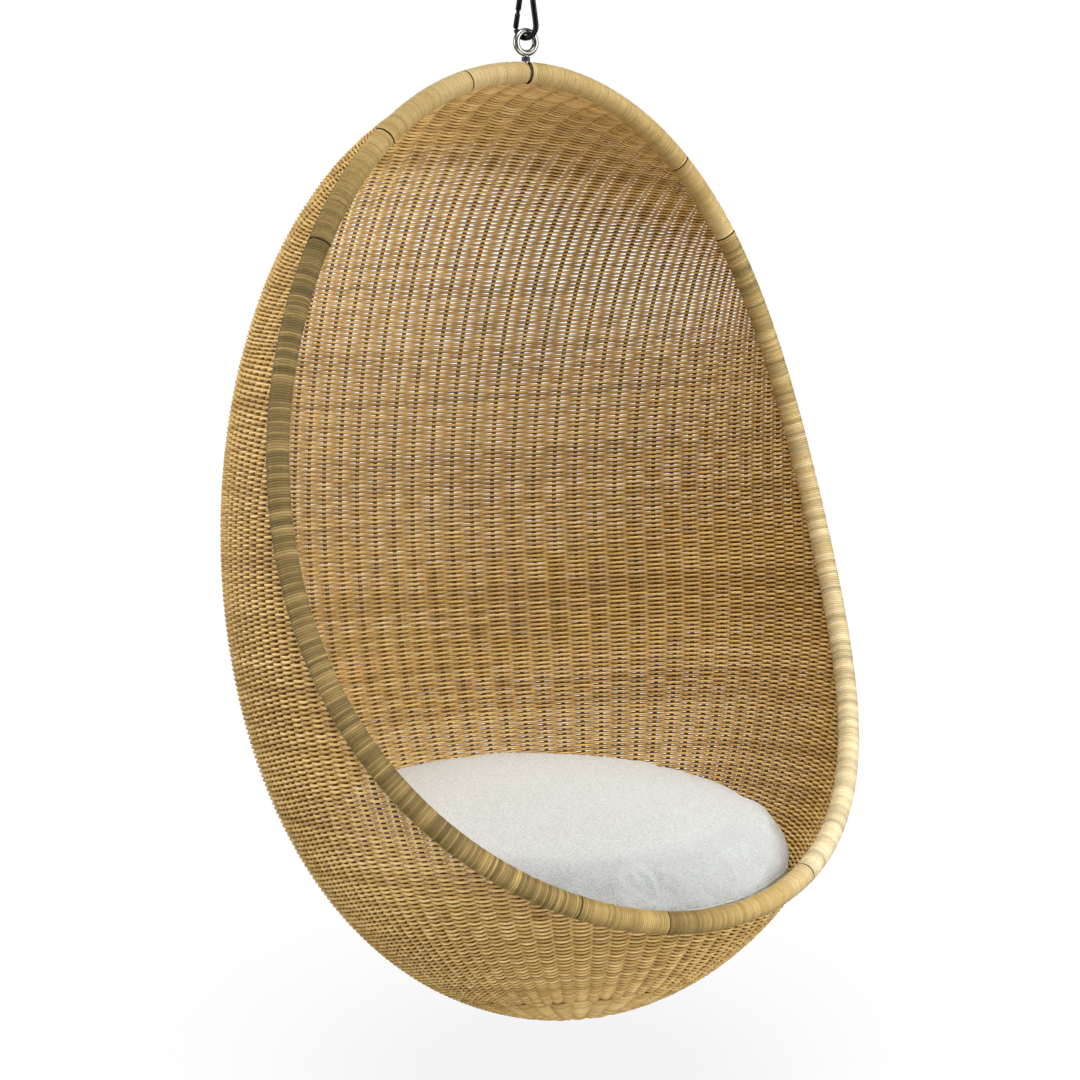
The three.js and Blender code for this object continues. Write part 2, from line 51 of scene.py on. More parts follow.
# The frame's own sizes, in metres. The egg is counted up from its foot, before the chair is hung.
EGG_HEIGHT = 1.190
EGG_HALF_WIDTH = 0.427
EGG_HALF_DEPTH = 0.407
EGG_WIDTH_SHARES = (0.004, 0.009)
EGG_DEPTH_SHARES = (0.027, 0.006)
BELLY_FORWARD = 0.0587
FOOT_FORWARD = 0.0642
WALL = 0.010
SILL_HEIGHT = 0.194
RIM_FORWARD = (0.0397, 0.1346)  # at a third and two thirds of the way down
WRAP_RADIUS = 0.0142  # outside of the wrapping round the rim
PIVOT_Z = -0.0514  # where the eye bears on the hook
FOOT_Z = -1.2924
HANG_TILT = math.radians(-0.85)
EYE_TURN = math.radians(-10)
RING_RADIUS = 0.0135
RING_WIRE = 0.004
SHANK_RADIUS = 0.003
HOOK_TURN = math.radians(-69)
HOOK_WIRE = 0.0035
HOOK_TOP_RADIUS = 0.008
HOOK_BOW_RADIUS = 0.0145
HOOK_INNER_LENGTH = 0.056
GATE_PIN_DROP = 0.030
GATE_LENGTH = 0.0186
CUSHION_RADIUS = 0.309
CUSHION_CROWN = 0.055
CUSHION_DEPTH = 0.075
CUSHION_FORWARD = 0.054
CUSHION_SEAM = 0.217
CUSHION_TILT = math.radians(3)

HANGING = (
    Matrix.Translation((0, 0, PIVOT_Z))
    @ Matrix.Rotation(HANG_TILT, 4, "X")
    @ Matrix.Translation((0, 0, FOOT_Z - PIVOT_Z))
)


def hang(points):
    """Takes points in the egg's own heights to where the chair hangs."""
    matrix = np.array(HANGING)
    return points @ matrix[:3, :3].T + matrix[:3, 3]


# Sizes and colours that a user may change


def length_setting(name, description, default, **limits):
    return FloatProperty(name=name, description=description, default=default, unit="LENGTH", **limits)


def colour_setting(name, description, *default):
    return FloatVectorProperty(name=name, description=description, default=default, subtype="COLOR")


class WeaveSettings(bpy.types.PropertyGroup):
    pitch: length_setting(
        "Row pitch", "Distance from one woven row to the next down the middle of the back", 0.0031, min=0.002)
    strand: length_setting("Strand radius", "Radius of the round strands that make the rows", 0.00183)
    stake: length_setting(
        "Stake radius", "Radius of each upright stake. They stand in pairs that the rows pass round", 0.0017)
    stakes: IntProperty(
        name="Pairs of stakes",
        description="Pairs of upright stakes round the widest row. A multiple of 32",
        default=96,
        min=32,
    )
    light: colour_setting("Light strands", "Colour of the palest strands", 0.86, 0.59, 0.21)
    dark: colour_setting("Dark strands", "Colour of the brownest strands", 0.44, 0.245, 0.065)


class WrapSettings(bpy.types.PropertyGroup):
    fine: length_setting(
        "Fine strip width", "Width of the split cane on the top and the front of the rim", 0.0025)
    coarse: length_setting(
        "Coarse strip width", "Width of the split cane down the sides of the rim", 0.0032)
    brown: colour_setting("Brown cane", "Colour of the darkest lengths of cane", 0.20, 0.137, 0.044)
    golden: colour_setting("Golden cane", "Colour of the middling lengths of cane", 0.50, 0.345, 0.122)
    pale: colour_setting("Pale cane", "Colour of the palest lengths of cane", 0.92, 0.78, 0.49)


class CushionSettings(bpy.types.PropertyGroup):
    fill: FloatProperty(
        name="Fill", description="How tight the filling is, from slack to full", default=0.6, min=0, max=1)
    pressure: FloatProperty(name="Pressure", description="Pressure that swells the cover", default=4.0)
    cloth: colour_setting("Cloth", "Colour of the cover", 0.69, 0.72, 0.71)


class HardwareSettings(bpy.types.PropertyGroup):
    bright: colour_setting("Bright steel", "Colour of the polished ring", 0.33, 0.32, 0.30)
    # On the neck, this dark steel also partly paints the shadow under the ring.
    dark: colour_setting("Dark steel", "Colour of the neck under the ring and of the nut", 0.045, 0.045, 0.05)
    black: colour_setting("Black steel", "Colour of the spring hook", 0.016, 0.016, 0.018)


class StageSettings(bpy.types.PropertyGroup):
    drop: length_setting("Floor drop", "How far the floor lies below the chair", 0.22)
    lens: FloatProperty(name="Lens", description="Focal length of the camera in millimetres", default=78.03)
    distance: length_setting("Distance", "From the camera to the middle of the egg", 3.0)


# Shader nodes


class Value:
    """A socket whose operators add Math nodes, so that a mask can be written as a sum."""

    def __init__(self, finish, socket):
        self.finish = finish
        self.socket = socket

    def join(self, operation, *others):
        node = self.finish.node("ShaderNodeMath", {"operation": operation})
        for place, other in enumerate(others):
            self.finish.feed(node.inputs[place], other)
        return Value(self.finish, node.outputs[0])

    def __add__(self, other):
        return self.join("ADD", self, other)

    def __radd__(self, other):
        return self.join("ADD", other, self)

    def __sub__(self, other):
        return self.join("SUBTRACT", self, other)

    def __rsub__(self, other):
        return self.join("SUBTRACT", other, self)

    def __mul__(self, other):
        return self.join("MULTIPLY", self, other)

    def __rmul__(self, other):
        return self.join("MULTIPLY", other, self)

    def clamp(self):
        return self.join("MINIMUM", self.join("MAXIMUM", self, 0.0), 1.0)

    def sine(self):
        return self.join("SINE", self)


class Finish:
    """A material on the Principled shader, with the nodes that vary it over a surface."""

    def __init__(self, name, **constants):
        self.material = bpy.data.materials.new(name)
        self.material.use_nodes = True
        self.tree = self.material.node_tree
        self.shader = self.tree.nodes["Principled BSDF"]
        for socket, value in constants.items():
            self.shader.inputs[socket.replace("_", " ")].default_value = value

    def node(self, kind, settings=None, values=None):
        """Adds a node: its settings first, then the values or links of its sockets."""
        node = self.tree.nodes.new(kind)
        for name, value in (settings or {}).items():
            if name == "stops":
                ramp = node.color_ramp
                while len(ramp.elements) < len(value):
                    ramp.elements.new(1.0)
                for element, (place, colour) in zip(ramp.elements, value):
                    element.position = place
                    element.color = (*colour, 1)
            else:
                setattr(node, name, value)
        for name, value in (values or {}).items():
            self.feed(node.inputs[name], value)
        return node

    def feed(self, socket, value):
        if isinstance(value, Value):
            self.tree.links.new(value.socket, socket)
        elif isinstance(value, bpy.types.NodeSocket):
            self.tree.links.new(value, socket)
        else:
            socket.default_value = value

    def attribute(self, name):
        return Value(self, self.node("ShaderNodeAttribute", {"attribute_name": name}).outputs["Fac"])

    def place(self, scale=(1, 1, 1)):
        """Object coordinates, stretched."""
        where = self.node("ShaderNodeTexCoord").outputs["Object"]
        mapping = self.node("ShaderNodeMapping", None, {"Vector": where, "Scale": scale})
        return mapping.outputs["Vector"]

    def noise(self, vector, scale, detail=2.0, roughness=0.5):
        values = {"Vector": vector, "Scale": scale, "Detail": detail, "Roughness": roughness}
        return Value(self, self.node("ShaderNodeTexNoise", None, values).outputs["Fac"])

    def vector(self, x, y, z):
        return self.node("ShaderNodeCombineXYZ", None, {"X": x, "Y": y, "Z": z}).outputs["Vector"]

    def ramp(self, value, stops):
        return self.node("ShaderNodeValToRGB", {"stops": stops}, {"Fac": value}).outputs["Color"]

    def blend(self, factor, first, second, mode="MIX"):
        node = self.node("ShaderNodeMix", {"data_type": "RGBA", "blend_type": mode})
        self.feed(node.inputs["Factor"], factor)
        self.feed(node.inputs[6], (*first, 1) if isinstance(first, tuple) else first)
        self.feed(node.inputs[7], (*second, 1) if isinstance(second, tuple) else second)
        return node.outputs[2]

    def paint(self, colour):
        self.feed(self.shader.inputs["Base Color"], colour)

    def rough(self, value):
        self.feed(self.shader.inputs["Roughness"], value)

    def bump(self, height, depth):
        node = self.node("ShaderNodeBump", None, {"Height": height, "Distance": depth})
        self.feed(self.shader.inputs["Normal"], node.outputs["Normal"])


def mixed(first, second, share):
    """A colour between two, worked out in Python."""
    return tuple(a + (b - a) * share for a, b in zip(first, second))


def darkened(colour, share):
    return mixed(colour, (0, 0, 0), share)


def woven_finish(settings):
    """Round cane strands: each its own tone, fine fibres along it and a soft varnish."""
    finish = Finish("woven_cane", Roughness=0.5, Coat_Weight=0.12, Coat_Roughness=0.35)
    tone = finish.attribute("tone")
    run = finish.attribute("run")
    depth = finish.attribute("depth")
    patches = finish.noise(finish.place(), 9.0, 3.0)
    fibres = finish.noise(finish.vector(run * 90.0, tone * 97.0, depth * 3.0), 1.0, 3.0, 0.7)
    shade = (tone * 0.55 + patches * 0.35 + fibres * 0.35 - 0.12).clamp()
    light, dark = tuple(settings.light), tuple(settings.dark)
    stops = [
        (0.0, darkened(dark, 0.25)),
        (0.35, mixed(dark, light, 0.45)),
        (0.7, light),
        (1.0, mixed(light, (1, 0.93, 0.75), 0.4)),
    ]
    colour = finish.ramp(shade, stops)
    # Painted shade: each strand is darkened where it sinks into the wall, halfway between its crests.
    level = depth * 2.0 - 1.0
    sunk = 1.0 - level * level
    finish.paint(finish.blend(sunk * 0.3, colour, darkened(dark, 0.2)))
    finish.rough(0.42 + fibres * 0.25)
    finish.bump(fibres, 0.0004)
    return finish.material


def stake_finish(settings):
    """Peeled upright cane, seen in the gaps between the strands, darkened as painted shade."""
    finish = Finish("shaded_stake_cane", Roughness=0.6)
    grain = finish.noise(finish.place((60, 60, 8)), 1.0, 3.0, 0.6)
    dark = tuple(settings.dark)
    # Painted shade: the stakes' colour is darkened to stand for the shade in the gaps between the strands.
    finish.paint(finish.blend(grain, darkened(dark, 0.7), darkened(dark, 0.3)))
    finish.bump(grain, 0.0005)
    return finish.material


def wrap_finish(name, settings):
    """Split cane wound round the rim: its own tone on each turn, dark bands and a worn sheen."""
    finish = Finish(
        name,
        Specular_IOR_Level=0.2,
        Sheen_Weight=0.3,
        Sheen_Roughness=0.3,
        Sheen_Tint=(1, 0.9, 0.68, 1),
    )
    pale = finish.attribute("pale")
    tone = finish.attribute("tone")
    run = finish.attribute("run")
    band = finish.attribute("band")
    groove = finish.attribute("groove")
    streaks = finish.noise(finish.vector(run * 40.0, tone * 53.0, band), 1.0, 3.0, 0.65)
    patches = finish.noise(finish.place(), 14.0, 2.0)
    brown, golden = tuple(settings.brown), tuple(settings.golden)
    middle = mixed(golden, tuple(settings.pale), 0.45)
    shade = (pale + (tone - 0.5) * 0.30 + (streaks - 0.5) * 0.35 + (patches - 0.5) * 0.20).clamp()
    peeled = finish.ramp(shade, [(0.0, brown), (0.3, golden), (0.6, middle), (1.0, tuple(settings.pale))])
    # Painted shade in the grooves between the turns.
    peeled = finish.blend(groove * groove * 0.75, peeled, darkened(brown, 0.5))
    # The dark bands fade where the paleness, which is partly painted light, is higher.
    finish.paint(finish.blend(band * (1.0 - pale * 0.45), peeled, darkened(brown, 0.45)))
    finish.rough(0.34 + streaks * 0.2)
    finish.bump(streaks, 0.0003)
    return finish.material


def pole_finish():
    """The bare pole under the wrapping."""
    finish = Finish("pole_cane", Roughness=0.7)
    grain = finish.noise(finish.place((40, 40, 10)), 1.0, 4.0, 0.6)
    finish.paint(finish.blend(grain, (0.055, 0.03, 0.012), (0.13, 0.075, 0.03)))
    finish.bump(grain, 0.0006)
    return finish.material


THREAD_PITCH = 0.0014
# Painted shade: the grey that the cloth is blended towards along its edge.
EDGE_SHADE_GREY = (0.12, 0.11, 0.105)


def cloth_finish(settings):
    """A plain weave of pale, uneven thread with a grey fleck, and painted shade that greys it along its edge.
    """
    finish = Finish("cushion_cloth", Roughness=0.92, Sheen_Weight=0.2, Sheen_Roughness=0.5)
    where = finish.place()
    split = finish.node("ShaderNodeSeparateXYZ", None, {"Vector": where})
    across = Value(finish, split.outputs["X"])
    along = Value(finish, split.outputs["Y"])
    threads = math.pi / THREAD_PITCH
    weave = (across * threads).sine() * (along * threads).sine()
    slubs_across = finish.noise(finish.place((210, 900, 500)), 1.0, 1.0)
    slubs = slubs_across + finish.noise(finish.place((900, 210, 500)), 1.0, 1.0)
    patches = finish.noise(where, 6.0, 2.0)
    cloth = tuple(settings.cloth)
    worn = finish.attribute("worn")
    shade = ((slubs - 1.0) * 1.1 + (patches - 0.5) * 0.12 + weave * 0.16 + 0.5).clamp()
    stops = [
        (0.0, mixed(cloth, (0.16, 0.17, 0.18), 0.45)),
        (0.5, cloth),
        (1.0, mixed(cloth, (1, 1, 1), 0.65)),
    ]
    # Painted shade greys the cloth along its edge, most of all at the front.
    finish.paint(finish.blend(worn * 0.42, finish.ramp(shade, stops), EDGE_SHADE_GREY))
    finish.rough(0.86 + slubs * 0.05)
    finish.bump(weave * 0.5 + slubs * 0.6, 0.0006)
    return finish.material


def zip_finish():
    """The grey spiral of a closed zip."""
    finish = Finish("zip_coil", Roughness=0.45)
    wear_and_painted_shade = finish.noise(finish.place(), 300.0, 2.0)
    finish.paint(finish.blend(wear_and_painted_shade, (0.30, 0.31, 0.32), (0.46, 0.47, 0.48)))
    finish.bump(wear_and_painted_shade, 0.0002)
    return finish.material


def steel_finish(name, colour, roughness, wear_and_painted_shade):
    """Turned or drawn steel with fine lines and a few worn patches."""
    finish = Finish(name, Metallic=1.0)
    lines = finish.noise(finish.place((300, 300, 2500)), 1.0, 2.0)
    patches = finish.noise(finish.place(), 120.0, 3.0)
    colour = tuple(colour)
    finish.paint(finish.blend((patches * 1.6 - 0.7).clamp() * wear_and_painted_shade, colour, mixed(colour, (1, 1, 1), 0.35)))
    finish.rough(lines * 0.12 + patches * 0.1 + roughness)
    finish.bump(lines, 0.00005)
    return finish.material


# Making and finishing pieces

MERGE = 0.00002
FINE_MERGE = 0.000005


def add_object(name, mesh, material, body, slot, *nodes):
    """Puts a finished piece in the scene, on its body, in place of the nodes it stands for."""
    piece = bpy.data.objects.new(name, mesh)
    bpy.context.scene.collection.objects.link(piece)
    mesh.materials.clear()
    mesh.materials.append(material)
    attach(piece, body)
    if nodes:
        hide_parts(*nodes)
    return piece


def carried_over(nodes, material):
    """Gives CAD nodes that stay in the scene their material."""
    for node in nodes:
        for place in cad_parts[node].material_slots:
            place.material = material


def as_mesh(holder, name):
    """The mesh that an object's curve or modifiers make. The object itself is removed."""
    bpy.context.scene.collection.objects.link(holder)
    evaluated = holder.evaluated_get(bpy.context.evaluated_depsgraph_get())
    mesh = bpy.data.meshes.new_from_object(evaluated)
    mesh.name = name
    bpy.data.objects.remove(holder)
    return mesh


def mesh_from(shape, name):
    """A new mesh of a bmesh, which is freed."""
    mesh = bpy.data.meshes.new(name)
    shape.to_mesh(mesh)
    shape.free()
    return mesh


def mesh_points(mesh):
    points = np.empty(len(mesh.vertices) * 3)
    mesh.vertices.foreach_get("co", points)
    return points.reshape(-1, 3)


def set_points(mesh, points):
    mesh.vertices.foreach_set("co", np.ascontiguousarray(points).ravel())
    mesh.update()


def set_attributes(mesh, **attributes):
    """Keeps a number on each vertex, for the materials to read by its name."""
    for name, values in attributes.items():
        layer = mesh.attributes.new(name, "FLOAT", "POINT")
        layer.data.foreach_set("value", np.ascontiguousarray(values, dtype=np.float32))


def tidy(mesh, distance=MERGE):
    """Merges doubled vertices, closes open ends, turns faces outwards and smooths the shading."""
    shape = bmesh.new()
    shape.from_mesh(mesh)
    bmesh.ops.remove_doubles(shape, verts=shape.verts[:], dist=distance)
    open_edges = [edge for edge in shape.edges if edge.is_boundary]
    if open_edges:
        bmesh.ops.holes_fill(shape, edges=open_edges, sides=0)
    bmesh.ops.recalc_face_normals(shape, faces=shape.faces[:])
    for face in shape.faces:
        face.smooth = True
    shape.to_mesh(mesh)
    shape.free()
    return mesh


def spin_round(shape, axis, steps, advance=(0, 0, 0)):
    """Spins all of an outline one whole turn, closed on itself unless each step advances."""
    bmesh.ops.spin(
        shape,
        geom=shape.verts[:] + shape.edges[:],
        cent=(0, 0, 0),
        axis=axis,
        dvec=advance,
        angle=2 * math.pi,
        steps=steps,
        use_merge=not any(advance),
        use_normal_flip=False,
        use_duplicate=False,
    )


def spun_profile(name, profile, steps=48):
    """A shape spun round the upright axis from a profile that closes, or ends on the axis twice."""
    shape = bmesh.new()
    verts = [shape.verts.new((radius, 0, height)) for radius, height in profile]
    for pair in zip(verts, verts[1:]):
        shape.edges.new(pair)
    spin_round(shape, (0, 0, 1), steps)
    return tidy(mesh_from(shape, name), FINE_MERGE)


class Tube:
    """A round strand or wire: its path, its radius along it, whether it closes, and what it carries."""

    def __init__(self, points, radii, closed=False, **carried):
        self.points = points
        self.radii = radii
        self.closed = closed
        self.carried = carried


def bevelled(name, tubes, resolution):
    """One mesh of bevelled curves along the tubes."""
    curve = bpy.data.curves.new(name, "CURVE")
    curve.dimensions = "3D"
    curve.bevel_depth = 1.0
    curve.bevel_resolution = resolution
    curve.use_fill_caps = True
    for tube in tubes:
        spline = curve.splines.new("POLY")
        count = len(tube.points)
        spline.points.add(count - 1)
        spline.use_cyclic_u = tube.closed
        flat = np.ones((count, 4))
        flat[:, :3] = tube.points
        spline.points.foreach_set("co", flat.ravel())
        spline.points.foreach_set("radius", np.broadcast_to(tube.radii, count).astype(float))
    return as_mesh(bpy.data.objects.new(name, curve), name)


SECTION_RESOLUTION = 1
SECTION_SIDES = 6  # what a bevel of that resolution has


def tube_mesh(name, tubes):
    """Six-sided tubes in one mesh. What each tube carries is kept on its vertices."""
    mesh = bevelled(name, tubes, SECTION_RESOLUTION)
    # The caps come before the walls, from the last open tube to the first, each tube's end first.
    open_tubes = [tube for tube in tubes if not tube.closed]
    for key in tubes[0].carried:
        caps = [np.repeat(tube.carried[key][[-1, 0]], SECTION_SIDES) for tube in reversed(open_tubes)]
        walls = [np.repeat(tube.carried[key], SECTION_SIDES) for tube in tubes]
        set_attributes(mesh, **{key: np.concatenate(caps + walls)})
    return tidy(mesh)


# The egg

POLE_TURN = 0.004  # nearer to a pole than this, a normal is taken from the ring at this turn


def egg_section(turn):
    """Half width, half depth, middle and height of a cross-section. The turn is 0 at the foot."""
    def swell(shares):
        return np.sin(turn) + shares[0] * np.sin(2 * turn) + shares[1] * np.sin(3 * turn)

    c = np.cos(turn)
    half_foot = FOOT_FORWARD / 2
    middle = -BELLY_FORWARD - half_foot * c + (BELLY_FORWARD - half_foot) * c * c
    width = np.maximum(EGG_HALF_WIDTH * swell(EGG_WIDTH_SHARES), 1e-7)
    depth = np.maximum(EGG_HALF_DEPTH * swell(EGG_DEPTH_SHARES), 1e-7)
    return width, depth, middle, EGG_HEIGHT * (1 - c) / 2


def turn_at(height):
    return np.arccos(np.clip(1 - 2 * np.asarray(height) / EGG_HEIGHT, -1, 1))


def egg_point(turn, around):
    width, depth, middle, height = egg_section(turn)
    return np.stack([width * np.cos(around), middle + depth * np.sin(around), height + 0 * around], -1)


def egg_normal(points):
    """Outward normals at points on the egg."""
    turn = np.clip(turn_at(points[:, 2]), POLE_TURN, math.pi - POLE_TURN)
    width, depth, middle, _ = egg_section(turn)
    around = np.arctan2((points[:, 1] - middle) / depth, points[:, 0] / width)
    small = 1e-3
    up = egg_point(turn + small, around) - egg_point(turn - small, around)
    along = egg_point(turn, around + small) - egg_point(turn, around - small)
    normal = np.cross(along, up)
    return normal / np.linalg.norm(normal, axis=1, keepdims=True)


def rim_side(share):
    """Side view of the rim: its Y at a share of the way from the top down to the sill."""
    _, depth, middle, _ = egg_section(turn_at(SILL_HEIGHT))
    stands = (0.0, -RIM_FORWARD[0], -RIM_FORWARD[1], float(middle - depth))
    places = (0.0, 1 / 3, 2 / 3, 1.0)
    total = 0.0
    for i, value in enumerate(stands):
        weight = 1.0
        for j, other in enumerate(places):
            if i != j:
                weight = weight * (share - other) / (places[i] - other)
        total = total + value * weight
    return total


def path_lengths(points):
    steps = np.linalg.norm(np.diff(points, axis=0), axis=1)
    return np.concatenate([[0.0], np.cumsum(steps)])


def resample(points, lengths, at):
    return np.stack([np.interp(at, lengths, points[:, k]) for k in range(3)], -1)


def point_at(points, lengths, distance):
    return resample(points, lengths, np.array([distance]))[0]


def rim_half():
    """The rim's middle line from the top down the +X side to the sill."""
    share = (1 - np.cos(np.linspace(0, math.pi, 1200))) / 2
    height = EGG_HEIGHT - (EGG_HEIGHT - SILL_HEIGHT) * share
    width, depth, middle, _ = egg_section(turn_at(height))
    y = rim_side(share)
    reach = np.clip((y - middle) / depth, -1, 1)
    x = width * np.sqrt(1 - reach * reach)
    x[0] = x[-1] = 0
    return np.stack([x, y, height], -1)


RIM_HALF = rim_half()
RIM_ARC = path_lengths(RIM_HALF)
RIM_LOOP = np.concatenate([RIM_HALF, RIM_HALF[-2:0:-1] * (-1, 1, 1), RIM_HALF[:1]])
RIM_LOOP_ARC = path_lengths(RIM_LOOP)
RIM_LENGTH = RIM_LOOP_ARC[-1]


def rim_frames(distance):
    """Point, facing and across directions at distances along the rim."""
    def at(d):
        return resample(RIM_LOOP, RIM_LOOP_ARC, np.mod(d, RIM_LENGTH))

    step = 0.004
    along = at(distance + step) - at(distance - step)
    along /= np.linalg.norm(along, axis=1, keepdims=True)
    facing = np.array([0, SILL_HEIGHT - EGG_HEIGHT, -float(rim_side(1.0))])
    facing = facing / np.linalg.norm(facing)
    facing = facing - along * (along @ facing)[:, None]
    facing /= np.linalg.norm(facing, axis=1, keepdims=True)
    return at(distance), facing, np.cross(facing, along)


# The weave

MIDDLE_ROW_ARC = 0.545  # from here down the rows keep one tilt
FAN = 0.150  # how much further down the rim than down the back the upper rows may end
FAN_START = 0.045
FIRST_ROW_ARC = 0.010
SHORTEST_ROW = 0.016  # round the foot, where the weave stops
LONGEST_CHORD = 1.2
CLOSEST_PAIRS = 0.012  # where pairs of stakes would stand closer than this, every other one ends
ROW_END = 0.006  # a row stops this far short of the rim's middle line
STEPS_PER_PAIR = 4
SPLICE = 0.010  # half the length of a splice
SPLICE_SWELL = 1.14
WANDER, WANDER_RATE = 0.0002, 31  # how far a strand strays up and down, and how quickly
THINNEST, THICKEST = 0.45, 1.6  # where rows crowd or spread, in usual radii
SQUARENESS = 0.7  # less than 1 makes a strand turn in more sharply between the pairs of stakes
FULL_SWING = 0.0125  # pairs this far apart let a strand swing right round them
PIECE_POINTS = 15400  # a piece of the weave ends with the strand that brings it past this
PAIR_SPREAD = 0.88  # half the distance between a pair's middles, in stake radii
STAKE_SPAN = 7  # rows from one point of a stake to its next

# How closely the stakes stand, from the middle of the back round to the middle of the front
STAKE_CROWDING = (
    (0.0, 0.78), (0.20, 0.80), (0.35, 0.87), (0.42, 1.10), (0.48, 1.33), (0.52, 1.20),
    (0.58, 1.06), (0.66, 1.00), (0.72, 0.88), (0.78, 0.74), (1.0, 0.72),
)


def crowding_table():
    """Shares of the way round half a row, and the shares of its stakes that stand on them."""
    way = np.linspace(0, 1, 401)
    places, crowding = np.array(STAKE_CROWDING).T
    crowding = np.interp(way, places, crowding)
    total = np.concatenate([[0.0], np.cumsum((crowding[1:] + crowding[:-1]) / 2)])
    return way, total / total[-1]


WAY_ROUND, STAKES_ROUND = crowding_table()


def stake_place(share):
    """How far round half a row a share of its stakes reaches."""
    return np.sign(share) * np.interp(np.abs(share), STAKES_ROUND, WAY_ROUND)


def stake_share(place):
    """The way back: the share of the stakes that stands before a place."""
    return np.sign(place) * np.interp(np.abs(place), WAY_ROUND, STAKES_ROUND)


def back_profile():
    """The egg's side view from the rim's top down the back, past the foot and up the front."""
    front_end = 0.9
    back = np.linspace(math.pi, 0, 1600)
    _, depth, middle, height = egg_section(back)
    down = np.stack([0 * back, middle + depth, height], -1)
    front = np.linspace(0, front_end, 500)[1:]
    _, depth, middle, height = egg_section(front)
    up = np.stack([0 * front, middle - depth, height], -1)
    return np.concatenate([down, up])


BACK = back_profile()
BACK_ARC = path_lengths(BACK)


def row_direction(arc):
    """Side-view direction of a row, forwards, where it leaves the back at an arc from the top."""
    fan = 0.0
    if arc < MIDDLE_ROW_ARC:
        fan = FAN * (1 - arc / MIDDLE_ROW_ARC) * (1 - math.exp(-arc / FAN_START))
    arc = min(arc, MIDDLE_ROW_ARC)
    front = point_at(RIM_HALF, RIM_ARC, arc + fan)
    start = point_at(BACK, BACK_ARC, arc)
    line = np.array([front[1] - start[1], front[2] - start[2]])
    return line / np.linalg.norm(line)


class Row:
    """One woven row: a flat cut through the egg, from the middle of the back round one side."""

    def __init__(self, arc):
        start = point_at(BACK, BACK_ARC, arc)
        line = row_direction(arc)
        reach = np.linspace(0, LONGEST_CHORD, 3000)[1:]
        y = start[1] + line[0] * reach
        z = start[2] + line[1] * reach
        inside = self.fits(y, z)
        stop = int(np.argmin(inside)) if not inside.all() else len(reach) - 1
        low, high = (reach[stop - 1] if stop else 0.0), reach[stop]
        for _ in range(30):
            mid = (low + high) / 2
            if self.fits(np.array([start[1] + line[0] * mid]), np.array([start[2] + line[1] * mid]))[0]:
                low = mid
            else:
                high = mid
        chord = low
        share = (1 - np.cos(np.linspace(0, math.pi, 500))) / 2
        y = start[1] + line[0] * chord * share
        z = start[2] + line[1] * chord * share
        width, depth, middle, _ = egg_section(turn_at(z))
        across = np.clip((y - middle) / depth, -1, 1)
        x = width * np.sqrt(1 - across * across)
        x[0] = x[-1] = 0
        self.points = np.stack([x, y, z], -1)
        self.lengths = path_lengths(self.points)
        self.perimeter = 2 * self.lengths[-1]
        way_down = (EGG_HEIGHT - z) / (EGG_HEIGHT - SILL_HEIGHT)
        in_opening = (z > SILL_HEIGHT) & (y < rim_side(way_down))
        self.closed = not in_opening.any()
        self.visible = self.lengths[-1] if self.closed else self.lengths[int(np.argmax(in_opening))]

    @staticmethod
    def fits(y, z):
        _, depth, middle, _ = egg_section(turn_at(z))
        return (z > 0) & (z < EGG_HEIGHT) & (np.abs(y - middle) < depth)

    def at(self, distance):
        """Points at signed distances from the middle of the back."""
        if self.closed:
            distance = np.mod(distance + self.perimeter / 2, self.perimeter) - self.perimeter / 2
        points = resample(self.points, self.lengths, np.abs(distance))
        points[:, 0] *= np.where(distance < 0, -1, 1)
        return points


def make_rows(settings):
    """Every row from just under the rim's top to the foot, with its own stake spacing."""
    rows = []
    arc = FIRST_ROW_ARC
    while arc < BACK_ARC[-1]:
        row = Row(arc)
        if rows and row.closed and row.perimeter < SHORTEST_ROW:
            break
        rows.append(row)
        arc += settings.pitch
    widest = max(range(len(rows)), key=lambda k: rows[k].perimeter)
    for k, row in enumerate(rows):
        row.reach = rows[max(k, widest)].perimeter / 2
        row.every = 1
        while row.every < 16 and row.reach / settings.stakes * 2 * row.every < CLOSEST_PAIRS:
            row.every *= 2
    return rows


def strand_steps(row, stakes):
    """A strand's points: counted in pairs of stakes, and as distances from the middle of the back."""
    half = stakes // 2 // row.every
    ends = half * STEPS_PER_PAIR
    steps = np.arange(-ends, ends if row.closed else ends + 1) / STEPS_PER_PAIR
    distance = stake_place(steps / half) * row.reach
    if row.closed:
        return steps, distance
    end = row.visible - ROW_END
    last = stake_share(end / row.reach) * half
    inside = np.abs(distance) < end - 0.001
    steps = np.concatenate([[-last], steps[inside], [last]])
    return steps, np.concatenate([[-end], distance[inside], [end]])


def to_next_row(rows, k, distance):
    """From points on a row to the row after it, square to the way that the row runs."""
    row = rows[k]
    other = rows[k + 1] if k + 1 < len(rows) else rows[k - 1]
    ahead = row.at(distance + 0.0005) - row.at(distance - 0.0005)
    ahead /= np.linalg.norm(ahead, axis=1, keepdims=True)
    reach = distance * other.reach / row.reach
    apart = other.at(np.clip(reach, -other.lengths[-1], other.lengths[-1])) - row.at(distance)
    return apart - ahead * (apart * ahead).sum(1, keepdims=True)


